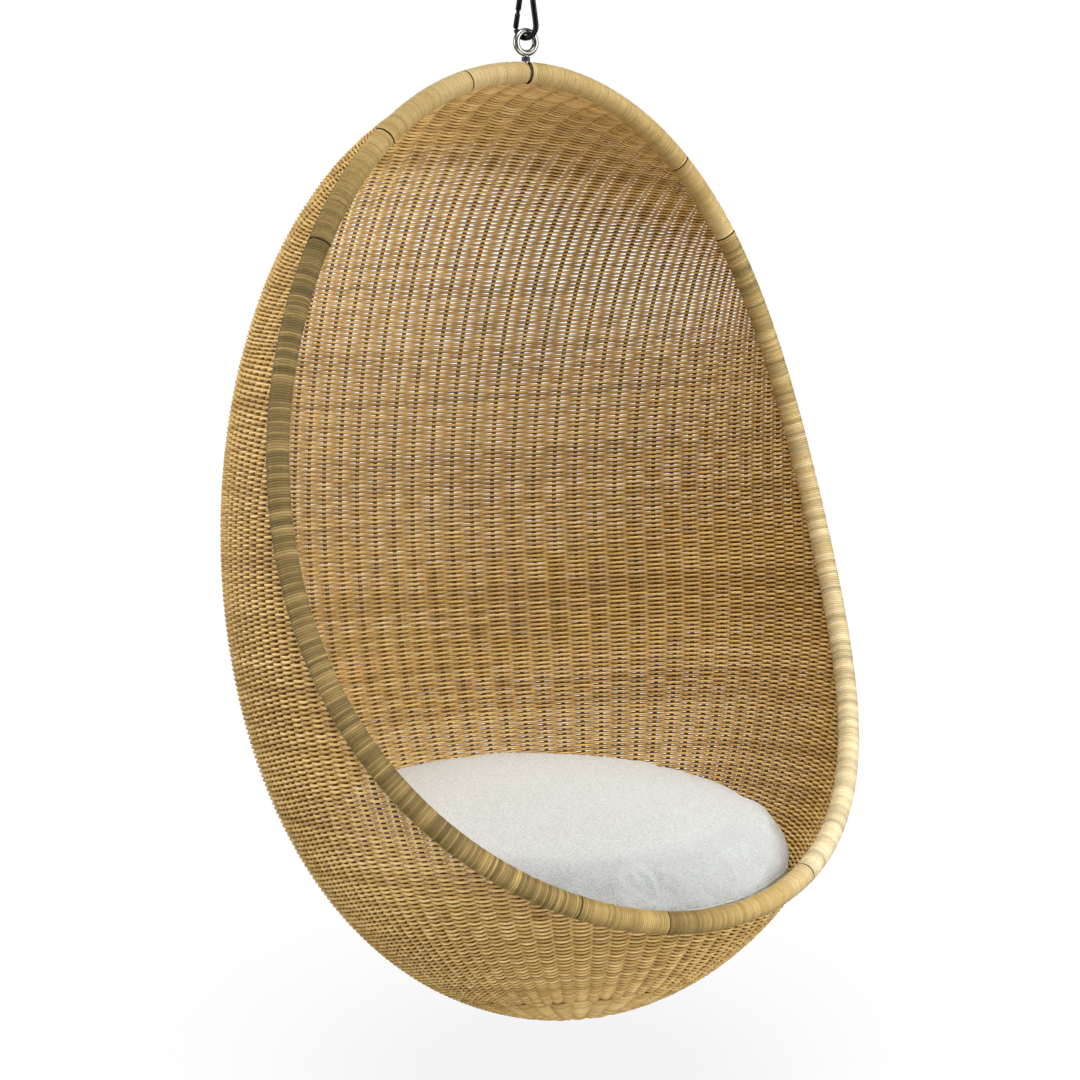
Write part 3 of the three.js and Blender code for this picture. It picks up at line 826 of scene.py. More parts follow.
def strand_tube(rows, k, settings, rng):
    """One row's strand: it passes outside one pair of stakes and inside the next."""
    row = rows[k]
    steps, distance = strand_steps(row, settings.stakes)
    side = 1 if (k % 2 == 0) else -1
    wave = np.cos(math.pi * steps)
    outside = np.sign(wave) * np.abs(wave) ** SQUARENESS * side
    apart = to_next_row(rows, k, distance)
    room = np.linalg.norm(apart, axis=1, keepdims=True)
    thickness = np.clip(room[:, 0] / settings.pitch, THINNEST, THICKEST)
    radii = settings.strand * thickness * rng.uniform(0.96, 1.04)

    # Each strand is one or two metres of cane: its tone changes at a splice, where two ends overlap.
    splices = np.sort(rng.uniform(-row.reach, row.reach, size=2 + int(2 * row.reach)))
    tone = rng.uniform(size=len(splices) + 1)[np.searchsorted(splices, distance)]
    near = np.abs(distance[:, None] - splices).min(axis=1) < SPLICE
    radii = radii * np.where(near, SPLICE_SWELL, 1.0)
    wander = WANDER * np.sin(distance * WANDER_RATE + rng.uniform(0, 6.3))
    points = row.at(distance) + apart / room * wander[:, None]

    spacing = 2 * row.reach / settings.stakes * row.every
    swing = (settings.stake + settings.strand) * outside * np.clip(spacing / FULL_SWING, 0.4, 1)
    placed = hang(points + egg_normal(points) * (swing - WALL / 2)[:, None])
    start = rng.uniform(0, 40)
    return Tube(placed, radii, row.closed, tone=tone, run=distance + start, depth=(outside + 1) / 2)


def strand_groups(rows, settings):
    """The strands in groups of like size, the open rows apart from the closed ones."""
    rng = np.random.default_rng(20)
    groups = []
    for closed in (False, True):
        batch, total = [], 0
        for k, row in enumerate(rows):
            if row.closed != closed:
                continue
            tube = strand_tube(rows, k, settings, rng)
            batch.append(tube)
            total += len(tube.points)
            if total > PIECE_POINTS:
                groups.append((closed, batch))
                batch, total = [], 0
        groups.append((closed, batch))
    return groups


def stake_tubes(rows, settings, side):
    """One stake of each upright pair, through the points where it crosses the rows."""
    tubes = []
    half = settings.stakes // 2
    for stake in range(-half + 1, half + 1):
        crossed = []
        for row in rows:
            if stake % row.every:
                break
            distance = stake_place(stake / half) * row.reach
            if abs(distance) < row.visible + 0.002 or row.closed:
                crossed.append((row, distance + side * settings.stake * PAIR_SPREAD))
        if len(crossed) < 3:
            continue
        crossed = crossed[:-1:STAKE_SPAN] + crossed[-1:]
        points = np.concatenate([row.at(np.array([distance])) for row, distance in crossed])
        inset = points - egg_normal(points) * (WALL / 2)
        tubes.append(Tube(hang(inset), settings.stake))
    return tubes


class OBJECT_OT_egg_weave(bpy.types.Operator):
    """Weaves the shell: rows of cane strands round upright stakes"""

    bl_idname = "object.egg_weave"
    bl_label = "Weave"

    def execute(self, context):
        settings = context.scene.egg_weave
        rows = make_rows(settings)
        strands = woven_finish(settings)
        counts = {False: 0, True: 0}
        for closed, tubes in strand_groups(rows, settings):
            region = "bowl" if closed else "wall"
            counts[closed] += 1
            name = f"weave_{region}_{counts[closed]}"
            add_object(name, tube_mesh(name, tubes), strands, "chair", "woven_rattan", f"woven_{region}")
        canes = stake_finish(settings)
        for name, side in (("stakes_first", -1), ("stakes_second", 1)):
            mesh = tube_mesh(name, stake_tubes(rows, settings, side))
            add_object(name, mesh, canes, "chair", "woven_rattan")
        return {"FINISHED"}


# The rim's wrapping

STRIP_THICKNESS = 0.0015
STRIP_OVERLAP = 1.08
STRIP_MIDDLE = WRAP_RADIUS - STRIP_THICKNESS / 2 - 0.0003
EYE_GAP = 0.0006  # between the shank and the cane on both sides of it
JOINT_OVERLAP = 0.0003
SET_IN = 0.0002  # how far the cane lies under the surface that the CAD gives the wrapping
BAND_DEPTH = 0.0002
LAST_TURN_RISE = 0.0004
CLOSING = 0.0026  # how far the turns beside the shank close up behind it
CLOSING_TURNS = 5

# Each length's name, its start and end as shares of the rim, its kind of cane, its paleness at both
# ends, and how far it stands out. The paleness is partly the cane's own colour and partly painted
# light: pale down the +X side to its brightest near the sill, and dark down the -X side.
WRAPS = (
    ("top_right", 0.0, 0.09, "fine", 0.40, 0.28, 0.0002),
    ("shoulder_right", 0.09, 0.129, "fine", 0.24, 0.46, 0.0),
    ("side_right", 0.129, 0.45, "banded", 0.20, 1.0, 0.0002),
    ("front_right", 0.45, 0.53, "fine", 0.50, 0.04, 0.0),
    ("front_left", 0.53, 0.567, "fine", 0.26, 0.14, 0.0002),
    ("side_left", 0.567, 0.868, "banded", 0.14, 0.02, 0.0),
    ("shoulder_left", 0.868, 0.921, "fine", 0.0, 0.32, 0.0002),
    ("arch_left", 0.921, 0.969, "fine", 0.30, 0.46, 0.0004),
    ("top_left", 0.969, 1.0, "fine", 0.56, 0.34, 0.0),
)


def wound_strip(name, width, turns):
    """A straight winding: a flattened round section spun one turn forwards, then repeated."""
    steps = 14
    shape = bmesh.new()
    bmesh.ops.create_circle(shape, segments=8, radius=0.5)
    bmesh.ops.scale(shape, vec=(width * STRIP_OVERLAP, STRIP_THICKNESS, 1), verts=shape.verts[:])
    bmesh.ops.translate(shape, vec=(0, STRIP_MIDDLE, 0), verts=shape.verts[:])
    spin_round(shape, (1, 0, 0), steps, (width / steps, 0, 0))
    holder = bpy.data.objects.new(name, mesh_from(shape, name))
    repeat = holder.modifiers.new("turns", "ARRAY")
    repeat.count = turns
    repeat.use_relative_offset = False
    repeat.use_constant_offset = True
    repeat.constant_offset_displace = (width, 0, 0)
    repeat.use_merge_vertices = True
    repeat.merge_threshold = 0.00001
    return tidy(as_mesh(holder, name))


def dark_turns(count, rng):
    """How dark each turn of the banded cane is: one or two dark ones at a time, some faint."""
    dark = np.zeros(count)
    at = int(rng.integers(1, 4))
    while at < count:
        wide = int(rng.integers(1, 3))
        dark[at:at + wide] = rng.uniform(0.5, 1.0)
        at += wide + int(rng.integers(1, 5))
    return np.convolve(dark, (0.22, 0.56, 0.22), "same")


def wrap_mesh(name, start, end, kind, pale, proud, settings, rng):
    """One length of wrapping, wound straight and then bent along the rim."""
    at_eye = SHANK_RADIUS + EYE_GAP
    low = start * RIM_LENGTH + (at_eye if start == 0 else -JOINT_OVERLAP)
    high = end * RIM_LENGTH - (at_eye if end == 1 else -JOINT_OVERLAP)
    width = settings.coarse if kind == "banded" else settings.fine
    turns = int((high - low) / width)
    last = turns + 1
    width = (high - low) / last
    mesh = wound_strip(name, width, turns)
    points = mesh_points(mesh)
    angle = np.arctan2(points[:, 2], points[:, 1])
    round_share = np.mod(angle, 2 * math.pi) / (2 * math.pi)
    whole = np.round(points[:, 0] / width - round_share)
    wound = whole + round_share
    tone = rng.uniform(0.25, 0.75, size=turns + 3)[np.clip(whole, 0, last).astype(int)]
    if kind == "banded":
        tone = 2 * tone - 0.5

    # The turns stand out a little unevenly, and each end laps over its neighbour.
    radius = np.hypot(points[:, 1], points[:, 2])
    # How deep a point lies between turns, where painted shade in the grooves darkens the cane.
    groove = np.clip(1 - (radius - STRIP_MIDDLE) / (STRIP_THICKNESS * 0.35), 0, 1)
    radius += proud - SET_IN
    radius += 0.00010 * np.sin(wound * 5.1) + 0.00008 * np.sin(wound * 2.23 + 1)
    radius += LAST_TURN_RISE * np.clip(1.6 - np.minimum(wound, last - wound), 0, 1)
    band = np.zeros(len(points))
    if kind == "banded":
        band = np.interp(wound, np.arange(turns + 3), dark_turns(turns + 3, rng))
        radius -= BAND_DEPTH * band

    distance = low + width / 2 + np.clip(points[:, 0], -width, high - low)
    closing = CLOSING * np.clip(1 - np.cos(angle), 0, 1)
    if start == 0:
        distance -= closing * np.exp(-wound / CLOSING_TURNS)
    if end == 1:
        distance += closing * np.exp(-(last - wound) / CLOSING_TURNS)
    middle, facing, across = rim_frames(distance)
    bent = middle + radius[:, None] * (facing * np.sin(angle)[:, None] + across * np.cos(angle)[:, None])
    set_points(mesh, hang(bent))
    # The paleness along each length is partly painted light, as the table of lengths says.
    set_attributes(
        mesh,
        tone=tone,
        run=wound * 2 * math.pi * WRAP_RADIUS,
        band=band,
        groove=groove,
        pale=pale[0] + (pale[1] - pale[0]) * wound / last,
    )
    return tidy(mesh)


class OBJECT_OT_egg_wrap(bpy.types.Operator):
    """Winds split cane round the rim, one piece for each length of it"""

    bl_idname = "object.egg_wrap"
    bl_label = "Wrap the rim"

    def execute(self, context):
        settings = context.scene.egg_wrap
        rng = np.random.default_rng(5)
        finishes = {kind: wrap_finish(f"{kind}_cane", settings) for kind in ("fine", "banded")}
        for name, start, end, kind, first, last, proud in WRAPS:
            mesh = wrap_mesh(f"wrap_{name}", start, end, kind, (first, last), proud, settings, rng)
            add_object(f"wrap_{name}", mesh, finishes[kind], "chair", f"{kind}_cane", f"binding_{name}")
        carried_over(("rim_hoop", "scarf_dowel_left", "scarf_dowel_right"), pole_finish())
        return {"FINISHED"}


# The cushion

UNDERSIDE_FULLNESS = 3.4
START_WIDER, START_LOWER, START_FULLNESS = 0.016, 0.024, 3.6
VOXEL = 0.006
SWELL_FRAMES = 20
LARGEST_MOVE = 0.024
CLOTH = {
    "use_pressure": True,
    "quality": 6,
    "tension_stiffness": 12,
    "compression_stiffness": 12,
    "shear_stiffness": 6,
    "bending_stiffness": 0.6,
}
FOLDS = 58
# Painted shade on the cloth's edge: where it starts, the width it grows over, and the share on the trim.
EDGE_SHADE_FROM, EDGE_SHADE_OVER = 0.205, 0.085  # from the middle outwards
TRIM_EDGE_SHADE = 0.7
CLOTH_GAP = 0.0012
TRIM_GAP = 0.0030
RIM_GAP = 0.001
RIM_CHECK_HEIGHT = 0.40  # the cushion can touch the rim only below this
RIM_CHECK_FRONT, RIM_CHECK_FOOT = -0.15, 0.15  # and only in front of and above these
ZIP_HALF_WIDTH = 0.160


def pillow_mesh(radius, crown, depth, fullness):
    """The cushion's plain form: an outline spun round its own upright axis."""
    steps = 14
    outline = []
    for sign, height, power in ((-1, depth, UNDERSIDE_FULLNESS), (1, crown, fullness)):
        turns = np.linspace(math.pi / 2, 0, steps + 1)
        reach = radius * np.cos(turns) ** (2 / power)
        level = sign * height * np.sin(turns) ** (2 / power)
        reach[0] = 0
        half = list(zip(reach, level))
        outline += half if sign < 0 else half[-2::-1]
    return spun_profile("cushion_form", outline, 96)


def settle(points, clearance):
    """Keeps points in the egg's own heights inside the egg's wall, and clear of its rim."""
    width, depth, middle, _ = egg_section(np.clip(turn_at(points[:, 2]), 0.05, math.pi))
    reach = np.hypot(points[:, 0] / width, (points[:, 1] - middle) / depth)
    on_egg = points.copy()
    grow = 1 / np.maximum(reach, 1e-6)
    on_egg[:, 0] = points[:, 0] * grow
    on_egg[:, 1] = middle + (points[:, 1] - middle) * grow
    normal = egg_normal(on_egg)
    outside = ((points - on_egg) * normal).sum(1) + WALL + clearance
    points = points - normal * np.maximum(outside, 0)[:, None]
    rim = RIM_LOOP[RIM_LOOP[:, 2] < RIM_CHECK_HEIGHT]
    near = (points[:, 1] < RIM_CHECK_FRONT) & (points[:, 2] > RIM_CHECK_FOOT)
    for number in np.nonzero(near)[0]:
        away = points[number] - rim
        gaps = np.linalg.norm(away, axis=1)
        nearest = int(np.argmin(gaps))
        short = WRAP_RADIUS + RIM_GAP + clearance - gaps[nearest]
        if short > 0:
            points[number] += away[nearest] / gaps[nearest] * short
    return points


def leant(points, angle):
    """Points turned about the X axis."""
    c, s = math.cos(angle), math.sin(angle)
    x, y, z = points.T
    return np.stack([x, c * y - s * z, s * y + c * z], -1)


def lay(points):
    """Tilts the cushion and sets it down in the bowl, in the egg's own heights."""
    return leant(points, CUSHION_TILT) + (0, -CUSHION_FORWARD, CUSHION_SEAM)


def wear_and_painted_shade(points):
    """How much painted shade greys the cloth: along its edge, most of all at the front and its -X side."""
    radius = np.maximum(np.hypot(points[:, 0], points[:, 1]), 1e-6)
    edge = np.clip((radius - EDGE_SHADE_FROM) / EDGE_SHADE_OVER, 0, 1)
    side = np.clip(0.1 - (0.56 * points[:, 0] + 0.83 * points[:, 1]) / radius, 0, 1)
    return edge * edge * (3 - 2 * edge) * side


def creased(mesh, rng):
    """Draws the swollen cover into short folds that run in from its seam."""
    points = mesh_points(mesh)
    normals = np.empty(len(mesh.vertices) * 3)
    mesh.vertex_normals.foreach_get("vector", normals)
    angle = np.arctan2(points[:, 1], points[:, 0])
    radius = np.hypot(points[:, 0], points[:, 1])
    from_seam = np.maximum(CUSHION_RADIUS - radius, 0)
    sunk = np.zeros(len(points))
    for place in np.linspace(-math.pi, math.pi, FOLDS, endpoint=False):
        at = place + rng.uniform(-0.04, 0.04)
        slant = rng.uniform(-5.0, 0.5)
        length = rng.uniform(0.040, 0.095)
        width = rng.uniform(0.005, 0.009)
        depth = rng.uniform(0.0006, 0.0026)
        off = np.mod(angle - at - slant * from_seam + math.pi, 2 * math.pi) - math.pi
        across = off * radius / width
        fade = np.clip(1 - from_seam / length, 0, 1)
        ridges = 0.45 * np.exp(-(across / 2.2) ** 2)  # low, on both sides of the fold
        sunk += depth * fade * (np.exp(-across ** 2) - ridges)
    set_points(mesh, points - normals.reshape(-1, 3) * sunk[:, None])
    return mesh


def seam_line(points, first, last, count):
    """Points round the cushion's widest line, between two angles, in its own frame."""
    level = points[np.abs(points[:, 2]) < 0.008]
    order = np.argsort(np.arctan2(level[:, 1], level[:, 0]))
    angles = np.arctan2(level[:, 1], level[:, 0])[order]
    radii = np.hypot(level[:, 0], level[:, 1])[order]
    at = np.linspace(first, last, count)
    reach = np.interp(np.mod(at + math.pi, 2 * math.pi) - math.pi, angles, radii)
    reach = np.convolve(np.pad(reach, 3, "edge"), np.full(7, 1 / 7), "valid")
    return np.stack([reach * np.cos(at), reach * np.sin(at), 0 * at], -1)


def swollen(mesh, pressure):
    """Blows the cover up with a cloth simulation, and caps how far a point may move."""
    holder = bpy.data.objects.new("cushion_swell", mesh)
    remesh = holder.modifiers.new("even", "REMESH")
    remesh.mode = "VOXEL"
    remesh.voxel_size = VOXEL
    even = as_mesh(holder, "cushion_even")
    before = mesh_points(even)
    holder = bpy.data.objects.new("cushion_cloth", even)
    scene = bpy.context.scene
    scene.collection.objects.link(holder)
    cloth = holder.modifiers.new("cloth", "CLOTH")
    for name, value in CLOTH.items():
        setattr(cloth.settings, name, value)
    cloth.settings.uniform_pressure_force = pressure
    cloth.settings.effector_weights.gravity = 0
    cloth.point_cache.frame_start = 1
    cloth.point_cache.frame_end = SWELL_FRAMES
    for number in range(1, SWELL_FRAMES + 1):
        scene.frame_set(number)
    evaluated = holder.evaluated_get(bpy.context.evaluated_depsgraph_get())
    result = bpy.data.meshes.new_from_object(evaluated)
    bpy.data.objects.remove(holder)
    scene.frame_set(1)
    move = mesh_points(result) - before
    size = np.linalg.norm(move, axis=1, keepdims=True)
    set_points(result, before + move / (1 + (size / LARGEST_MOVE) ** 4) ** 0.25)
    return result


class OBJECT_OT_egg_cushion(bpy.types.Operator):
    """Makes the loose round seat cushion, swollen by its filling and pressed into the bowl"""

    bl_idname = "object.egg_cushion"
    bl_label = "Cushion"

    def execute(self, context):
        settings = context.scene.egg_cushion
        sizes = np.array([CUSHION_RADIUS, CUSHION_CROWN, CUSHION_DEPTH])
        start = pillow_mesh(*(sizes + (START_WIDER, -START_LOWER, -START_LOWER)), START_FULLNESS)
        mesh = creased(swollen(start, settings.pressure), np.random.default_rng(8))
        form = mesh_points(mesh)
        # Painted shade along the cloth's edge, kept on its vertices.
        set_attributes(mesh, worn=wear_and_painted_shade(form))
        set_points(mesh, hang(settle(lay(form), CLOTH_GAP)))
        tidy(mesh)
        cloth = cloth_finish(settings)
        nodes = ("cushion_cover", "cushion_filling")
        piece = add_object("cushion", mesh, cloth, "cushion", "cushion_cloth", *nodes)
        smooth = piece.modifiers.new("smooth", "SUBSURF")
        smooth.levels = 1
        smooth.render_levels = 1

        # The zip lies along the seam on the -X side, and the welt runs round between its two ends.
        half_zip = math.asin(ZIP_HALF_WIDTH / CUSHION_RADIUS)
        first, last = math.pi - half_zip, math.pi + half_zip
        for name, start, end, count, radii, material, nodes in (
            ("cushion_welt", half_zip - math.pi, first, 420, (0.0012, 0.0012), cloth, ()),
            ("cushion_zip", first, last, 281, (0.0018, 0.0011), zip_finish(), ("cushion_zip",)),
        ):
            line = hang(settle(lay(seam_line(form, start, end, count)), TRIM_GAP))
            # The welt and the zip carry a fixed share of the painted edge shade; only the cloth's finish
            # reads it.
            tube = Tube(line, np.resize(radii, count), worn=np.full(count, TRIM_EDGE_SHADE))
            add_object(name, tube_mesh(name, [tube]), material, "cushion", "cushion_cloth", *nodes)
        return {"FINISHED"}


# The eye and the spring hook

RING_Z = PIVOT_Z - RING_RADIUS
RING_FOOT_Z = RING_Z - RING_RADIUS - RING_WIRE
SHANK_FOOT_Z = RING_FOOT_Z - 0.0300
THREAD_TOP_Z = RING_FOOT_Z - 0.0062
THREAD_DEPTH = 0.00025
HOOK_EYE_LENGTH = 0.0036  # the thinner end of the hook's wire, inside the gate
HOOK_EYE_RADIUS = 0.0022
NOSE_LENGTH = 0.0012
NOSE_TAPER = 0.0006
NOSE_GAP = 0.0005
PIN_COVER = 0.0010
GATE_RADIUS = 0.0033
GATE_ABOVE_PIN = 0.0022


def turned(points, angle):
    """Points turned about the hanging line."""
    c, s = math.cos(angle), math.sin(angle)
    x, y, z = points.T
    return np.stack([c * x - s * y, s * x + c * y, z], -1)


def lean_with_chair(mesh):
    """Leans a piece of the eye, as the chair does, about its bearing on the hook."""
    pivot = np.array([0, 0, PIVOT_Z])
    set_points(mesh, leant(mesh_points(mesh) - pivot, HANG_TILT) + pivot)


def eye_ring_mesh():
    """The welded ring and its shank with a thread's ridges."""
    shape = bmesh.new()
    bmesh.ops.create_circle(shape, segments=24, radius=RING_WIRE)
    bmesh.ops.translate(shape, vec=(RING_RADIUS, 0, 0), verts=shape.verts[:])
    spin_round(shape, (0, 1, 0), 72)
    bmesh.ops.translate(shape, vec=(0, 0, RING_Z), verts=shape.verts[:])
    profile = [
        (0.0, RING_Z - RING_RADIUS),
        (0.0036, RING_Z - RING_RADIUS - 0.0028),
        (0.00322, RING_FOOT_Z - 0.0005),
        (SHANK_RADIUS, RING_FOOT_Z - 0.0018),
    ]
    for count, level in enumerate(np.linspace(THREAD_TOP_Z, SHANK_FOOT_Z, 44)):
        profile.append((SHANK_RADIUS - (THREAD_DEPTH if count % 2 else 0.0), level))
    profile.append((0.0, SHANK_FOOT_Z))
    shape.from_mesh(spun_profile("shank", profile))
    mesh = tidy(mesh_from(shape, "eye_ring"), FINE_MERGE)
    set_points(mesh, turned(mesh_points(mesh), EYE_TURN))
    return mesh


def collar_mesh():
    """The dark neck between the ring and the rim, with rounded edges and a waist."""
    top = RING_FOOT_Z - 0.0003
    low = top - 0.0052
    profile = [
        (0.0033, top), (0.0046, top), (0.0052, top - 0.0005), (0.0054, top - 0.0012),
        (0.0050, top - 0.0024), (0.0050, top - 0.0030), (0.0055, top - 0.0040),
        (0.0055, low + 0.0004), (0.0051, low), (0.0033, low), (0.0033, top),
    ]
    return spun_profile("neck", profile)


def hook_lines():
    """The middle line of the hook's wire, the gate's pin and the way down the gate, in one plane."""
    top_centre = HOOK_WIRE - HOOK_TOP_RADIUS
    bow_centre = -HOOK_INNER_LENGTH - HOOK_WIRE + HOOK_BOW_RADIUS
    lean = math.asin((HOOK_BOW_RADIUS - HOOK_TOP_RADIUS) / (top_centre - bow_centre))
    down = np.array([-math.sin(lean), 0, -math.cos(lean)])
    top = np.array([-HOOK_TOP_RADIUS * math.cos(lean), 0, top_centre + HOOK_TOP_RADIUS * math.sin(lean)])
    pin = top + down * (top[2] + GATE_PIN_DROP) / math.cos(lean)
    nose_z = (pin + down * (GATE_LENGTH + NOSE_GAP))[2]
    nose = math.pi + math.asin((bow_centre - nose_z) / HOOK_BOW_RADIUS)

    def arc(radius, centre, first, last):
        a = np.linspace(first, last, 40)
        return np.stack([radius * np.cos(a), 0 * a, centre + radius * np.sin(a)], -1)

    over = arc(HOOK_TOP_RADIUS, top_centre, math.pi - lean, lean)
    under = arc(HOOK_BOW_RADIUS, bow_centre, lean, nose - 2 * math.pi)
    shoulder = pin - down * PIN_COVER
    return np.concatenate([[shoulder], over, under]), pin, down


def hook_tube(name, points, radii):
    """A smooth round wire along a line in the hook's plane, turned to where it hangs."""
    return tidy(bevelled(name, [Tube(turned(points, HOOK_TURN), radii)], 8), FINE_MERGE)


def hook_wire_mesh(line):
    """The hook's bent wire, thinner where it enters the gate and tapered at its nose."""
    lengths = path_lengths(line)
    at = np.linspace(0, lengths[-1], 160)
    from_nose = np.clip((lengths[-1] - at) / NOSE_LENGTH, 0, 1)
    radii = HOOK_WIRE - NOSE_TAPER * (1 - from_nose)
    radii[at < HOOK_EYE_LENGTH] = HOOK_EYE_RADIUS
    return hook_tube("hook_wire", resample(line, lengths, at), radii)


def gate_mesh(pin, down):
    """The gate's sleeve, rounded off at both ends."""
    length = GATE_LENGTH + GATE_ABOVE_PIN
    at = np.linspace(0, length, 60)
    short = np.clip(np.minimum(length - at, at) / GATE_RADIUS, 0, 1)
    radii = GATE_RADIUS * np.sqrt(np.clip(1 - (1 - short) ** 2, 0.0004, 1))
    return hook_tube("gate_sleeve", pin + (at - GATE_ABOVE_PIN)[:, None] * down, radii)


class OBJECT_OT_egg_hardware(bpy.types.Operator):
    """Makes the steel eye, its neck and the spring hook, and finishes the small steel parts"""

    bl_idname = "object.egg_hardware"
    bl_label = "Eye and hook"

    def execute(self, context):
        settings = context.scene.egg_hardware
        bright = steel_finish("polished_steel", settings.bright, 0.22, 0.3)
        dark = steel_finish("dark_steel", settings.dark, 0.35, 0.2)
        black = steel_finish("black_steel", settings.black, 0.30, 0.15)
        ring, neck = eye_ring_mesh(), collar_mesh()
        lean_with_chair(ring)
        lean_with_chair(neck)
        add_object("eye_ring", ring, bright, "eye", "polished_steel", "eye_bolt")
        # The neck's dark steel is partly its own colour and partly paints the shadow under the ring.
        add_object("neck", neck, dark, "eye", "dark_steel", "eye_collar")
        line, pin, down = hook_lines()
        add_object("hook_wire", hook_wire_mesh(line), black, "hook", "black_steel", "hook_body")
        add_object("gate_sleeve", gate_mesh(pin, down), black, "gate", "black_steel", "hook_gate")
        carried_over(("eye_washer", "eye_nut", "hook_gate_pin", "hook_gate_spring"), dark)
        return {"FINISHED"}


# The stage

CAMERA_TURN = -0.67173
CAMERA_RISE = 0.1309
CAMERA_AIM = Vector((0, 0, 0.595))  # the middle of the egg, in its own heights
CAMERA_SHIFT = (0.0176, 0.006857)  # how far to the right of that and above it the camera aims
CHAIR_MIDDLE = Vector((0, 0, -0.7))
SOFT_LIGHT = 0.05
WHITE_BACKDROP = 1.0
FLOOR_SIZE = 30
FLOOR_GLOW = 0.89
SUN_RISE = 60
SUN_SPREAD = 38
SUN_STRENGTH = 2.55
LAMP_DISTANCE = 2.6
LAMP_SIZE = 1.6
LAMPS = (  # name, turn to the camera's right, rise and watts
    ("right", 75, 20, 52),
    ("left", -75, 15, 42),
    ("below", 15, -35, 38),
)


def direction(turn, rise):
    """The way to a place round the chair: a turn from its front towards +X, and a rise, in radians."""
    return Vector((math.sin(turn) * math.cos(rise), -math.cos(turn) * math.cos(rise), math.sin(rise)))


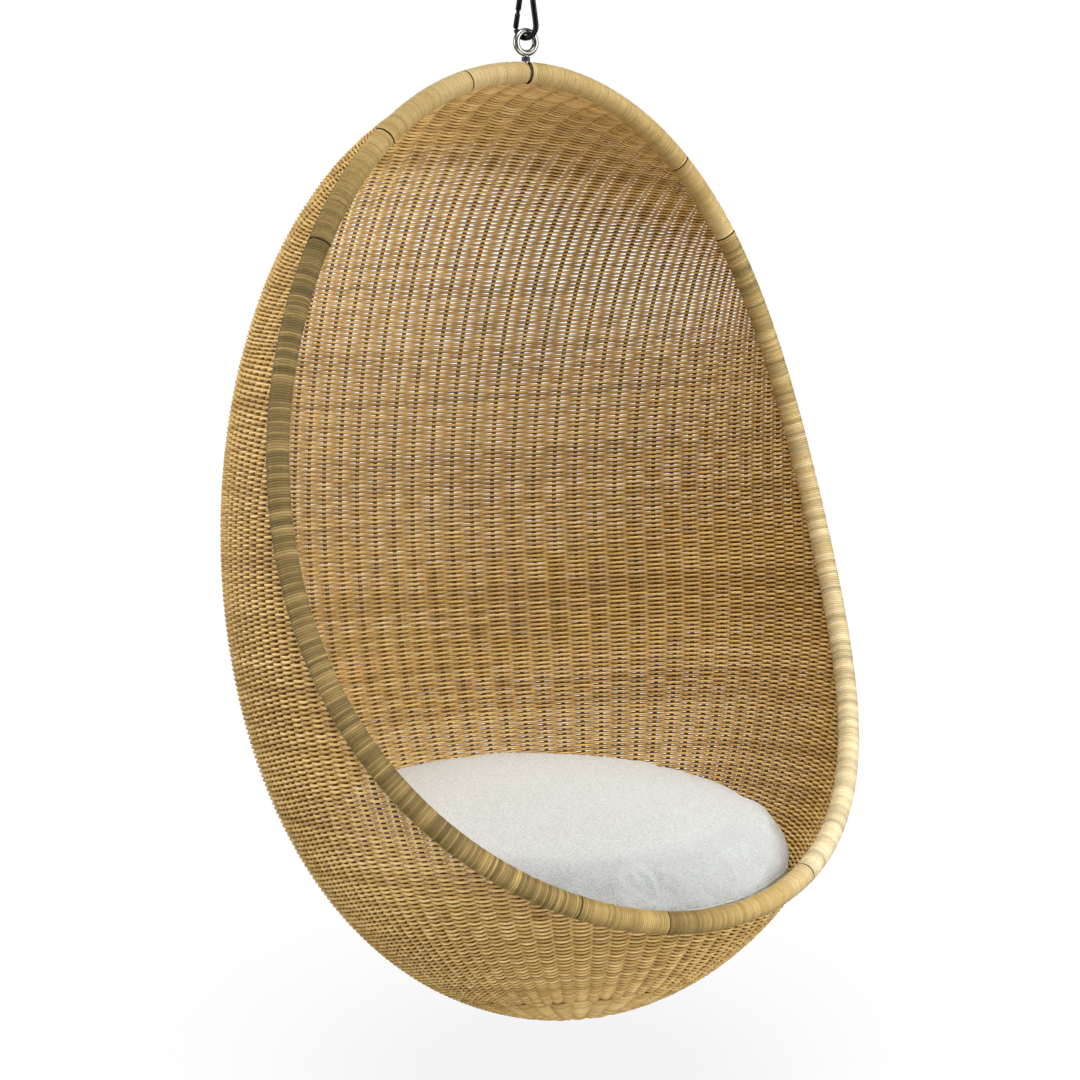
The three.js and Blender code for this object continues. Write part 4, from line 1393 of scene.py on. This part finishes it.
class OBJECT_OT_egg_stage(bpy.types.Operator):
    """Sets the pale floor, the soft lights and the camera at the photograph's angle"""

    bl_idname = "object.egg_stage"
    bl_label = "Stage"

    def execute(self, context):
        settings = context.scene.egg_stage
        scene = context.scene
        self.camera(scene, settings)
        self.floor(scene, settings)
        self.lights(scene)
        scene.view_settings.view_transform = "Standard"
        return {"FINISHED"}

    def camera(self, scene, settings):
        back = direction(CAMERA_TURN, CAMERA_RISE)
        right = Vector((math.cos(CAMERA_TURN), math.sin(CAMERA_TURN), 0))
        up = back.cross(right)
        stand = CAMERA_AIM + right * CAMERA_SHIFT[0] + up * CAMERA_SHIFT[1] + back * settings.distance
        data = bpy.data.cameras.new("camera")
        data.lens = settings.lens
        data.sensor_width = 36
        data.clip_end = 60
        camera = bpy.data.objects.new("camera", data)
        axes = Matrix((right, up, back)).transposed().to_4x4()
        camera.matrix_world = HANGING @ Matrix.Translation(stand) @ axes
        scene.collection.objects.link(camera)
        scene.camera = camera

    def floor(self, scene, settings):
        shape = bmesh.new()
        bmesh.ops.create_grid(shape, x_segments=1, y_segments=1, size=FLOOR_SIZE)
        bmesh.ops.translate(shape, vec=(0, 0, FOOT_Z - settings.drop), verts=shape.verts[:])
        mesh = mesh_from(shape, "floor")
        finish = Finish("pale_floor", Roughness=0.9)
        mottle = finish.noise(finish.place(), 2.0, 2.0)
        finish.paint(finish.blend(mottle, (0.145, 0.145, 0.145), (0.155, 0.155, 0.155)))
        finish.shader.inputs["Emission Color"].default_value = (1, 1, 1, 1)
        finish.shader.inputs["Emission Strength"].default_value = FLOOR_GLOW
        mesh.materials.append(finish.material)
        floor = bpy.data.objects.new("floor", mesh)
        floor.visible_diffuse = False
        floor.visible_glossy = False
        floor.visible_shadow = False
        scene.collection.objects.link(floor)

    def lights(self, scene):
        world = bpy.data.worlds.new("pale_world")
        world.use_nodes = True
        tree = world.node_tree
        choice = tree.nodes.new("ShaderNodeMixShader")
        seen = tree.nodes.new("ShaderNodeLightPath").outputs["Is Camera Ray"]
        tree.links.new(seen, choice.inputs[0])
        glows = (tree.nodes["Background"], tree.nodes.new("ShaderNodeBackground"))
        for place, glow, strength in zip((1, 2), glows, (SOFT_LIGHT, WHITE_BACKDROP)):
            glow.inputs["Color"].default_value = (1, 1, 1, 1)
            glow.inputs["Strength"].default_value = strength
            tree.links.new(glow.outputs[0], choice.inputs[place])
        tree.links.new(choice.outputs[0], tree.nodes["World Output"].inputs["Surface"])
        scene.world = world
        off_floor = bpy.data.collections.new("all_but_the_floor")
        off_floor.objects.link(bpy.data.objects["floor"])
        off_floor.collection_objects[0].light_linking.link_state = "EXCLUDE"
        for name, turn, rise, energy in LAMPS:
            data = bpy.data.lights.new(name, "AREA")
            data.size = LAMP_SIZE
            data.energy = energy
            lamp = self.hung_lamp(scene, data, turn, rise)
            lamp.light_linking.receiver_collection = off_floor
        data = bpy.data.lights.new("above", "SUN")
        data.angle = math.radians(SUN_SPREAD)
        data.energy = SUN_STRENGTH
        self.hung_lamp(scene, data, 0, SUN_RISE)

    def hung_lamp(self, scene, data, turn, rise):
        """Hangs a lamp at a turn from the camera and a rise, facing the middle of the chair."""
        away = direction(CAMERA_TURN + math.radians(turn), math.radians(rise))
        lamp = bpy.data.objects.new(data.name, data)
        lamp.location = CHAIR_MIDDLE + away * LAMP_DISTANCE
        lamp.rotation_euler = (-away).to_track_quat("-Z", "Y").to_euler()
        lamp.visible_camera = False
        scene.collection.objects.link(lamp)
        return lamp


# The sidebar


class VIEW3D_PT_egg_chair(bpy.types.Panel):
    """Lists the sizes, the colours and the steps that make the chair"""

    bl_label = "Hanging egg chair"
    bl_idname = "VIEW3D_PT_egg_chair"
    bl_space_type = "VIEW_3D"
    bl_region_type = "UI"
    bl_category = "Egg chair"

    def draw(self, context):
        for name, group, operator in STEPS:
            box = self.layout.box()
            settings = getattr(context.scene, name)
            for key in group.__annotations__:
                box.prop(settings, key)
            box.operator(operator.bl_idname)


STEPS = (
    ("egg_weave", WeaveSettings, OBJECT_OT_egg_weave),
    ("egg_wrap", WrapSettings, OBJECT_OT_egg_wrap),
    ("egg_cushion", CushionSettings, OBJECT_OT_egg_cushion),
    ("egg_hardware", HardwareSettings, OBJECT_OT_egg_hardware),
    ("egg_stage", StageSettings, OBJECT_OT_egg_stage),
)


def register():
    for name, group, operator in STEPS:
        bpy.utils.register_class(group)
        bpy.utils.register_class(operator)
        setattr(bpy.types.Scene, name, PointerProperty(type=group))
    bpy.utils.register_class(VIEW3D_PT_egg_chair)


def unregister():
    bpy.utils.unregister_class(VIEW3D_PT_egg_chair)
    for name, group, operator in reversed(STEPS):
        delattr(bpy.types.Scene, name)
        bpy.utils.unregister_class(operator)
        bpy.utils.unregister_class(group)


def main():
    register()
    bpy.ops.object.egg_stage()
    bpy.ops.object.egg_weave()
    bpy.ops.object.egg_wrap()
    bpy.ops.object.egg_cushion()
    bpy.ops.object.egg_hardware()


if __name__ == "__main__":
    main()
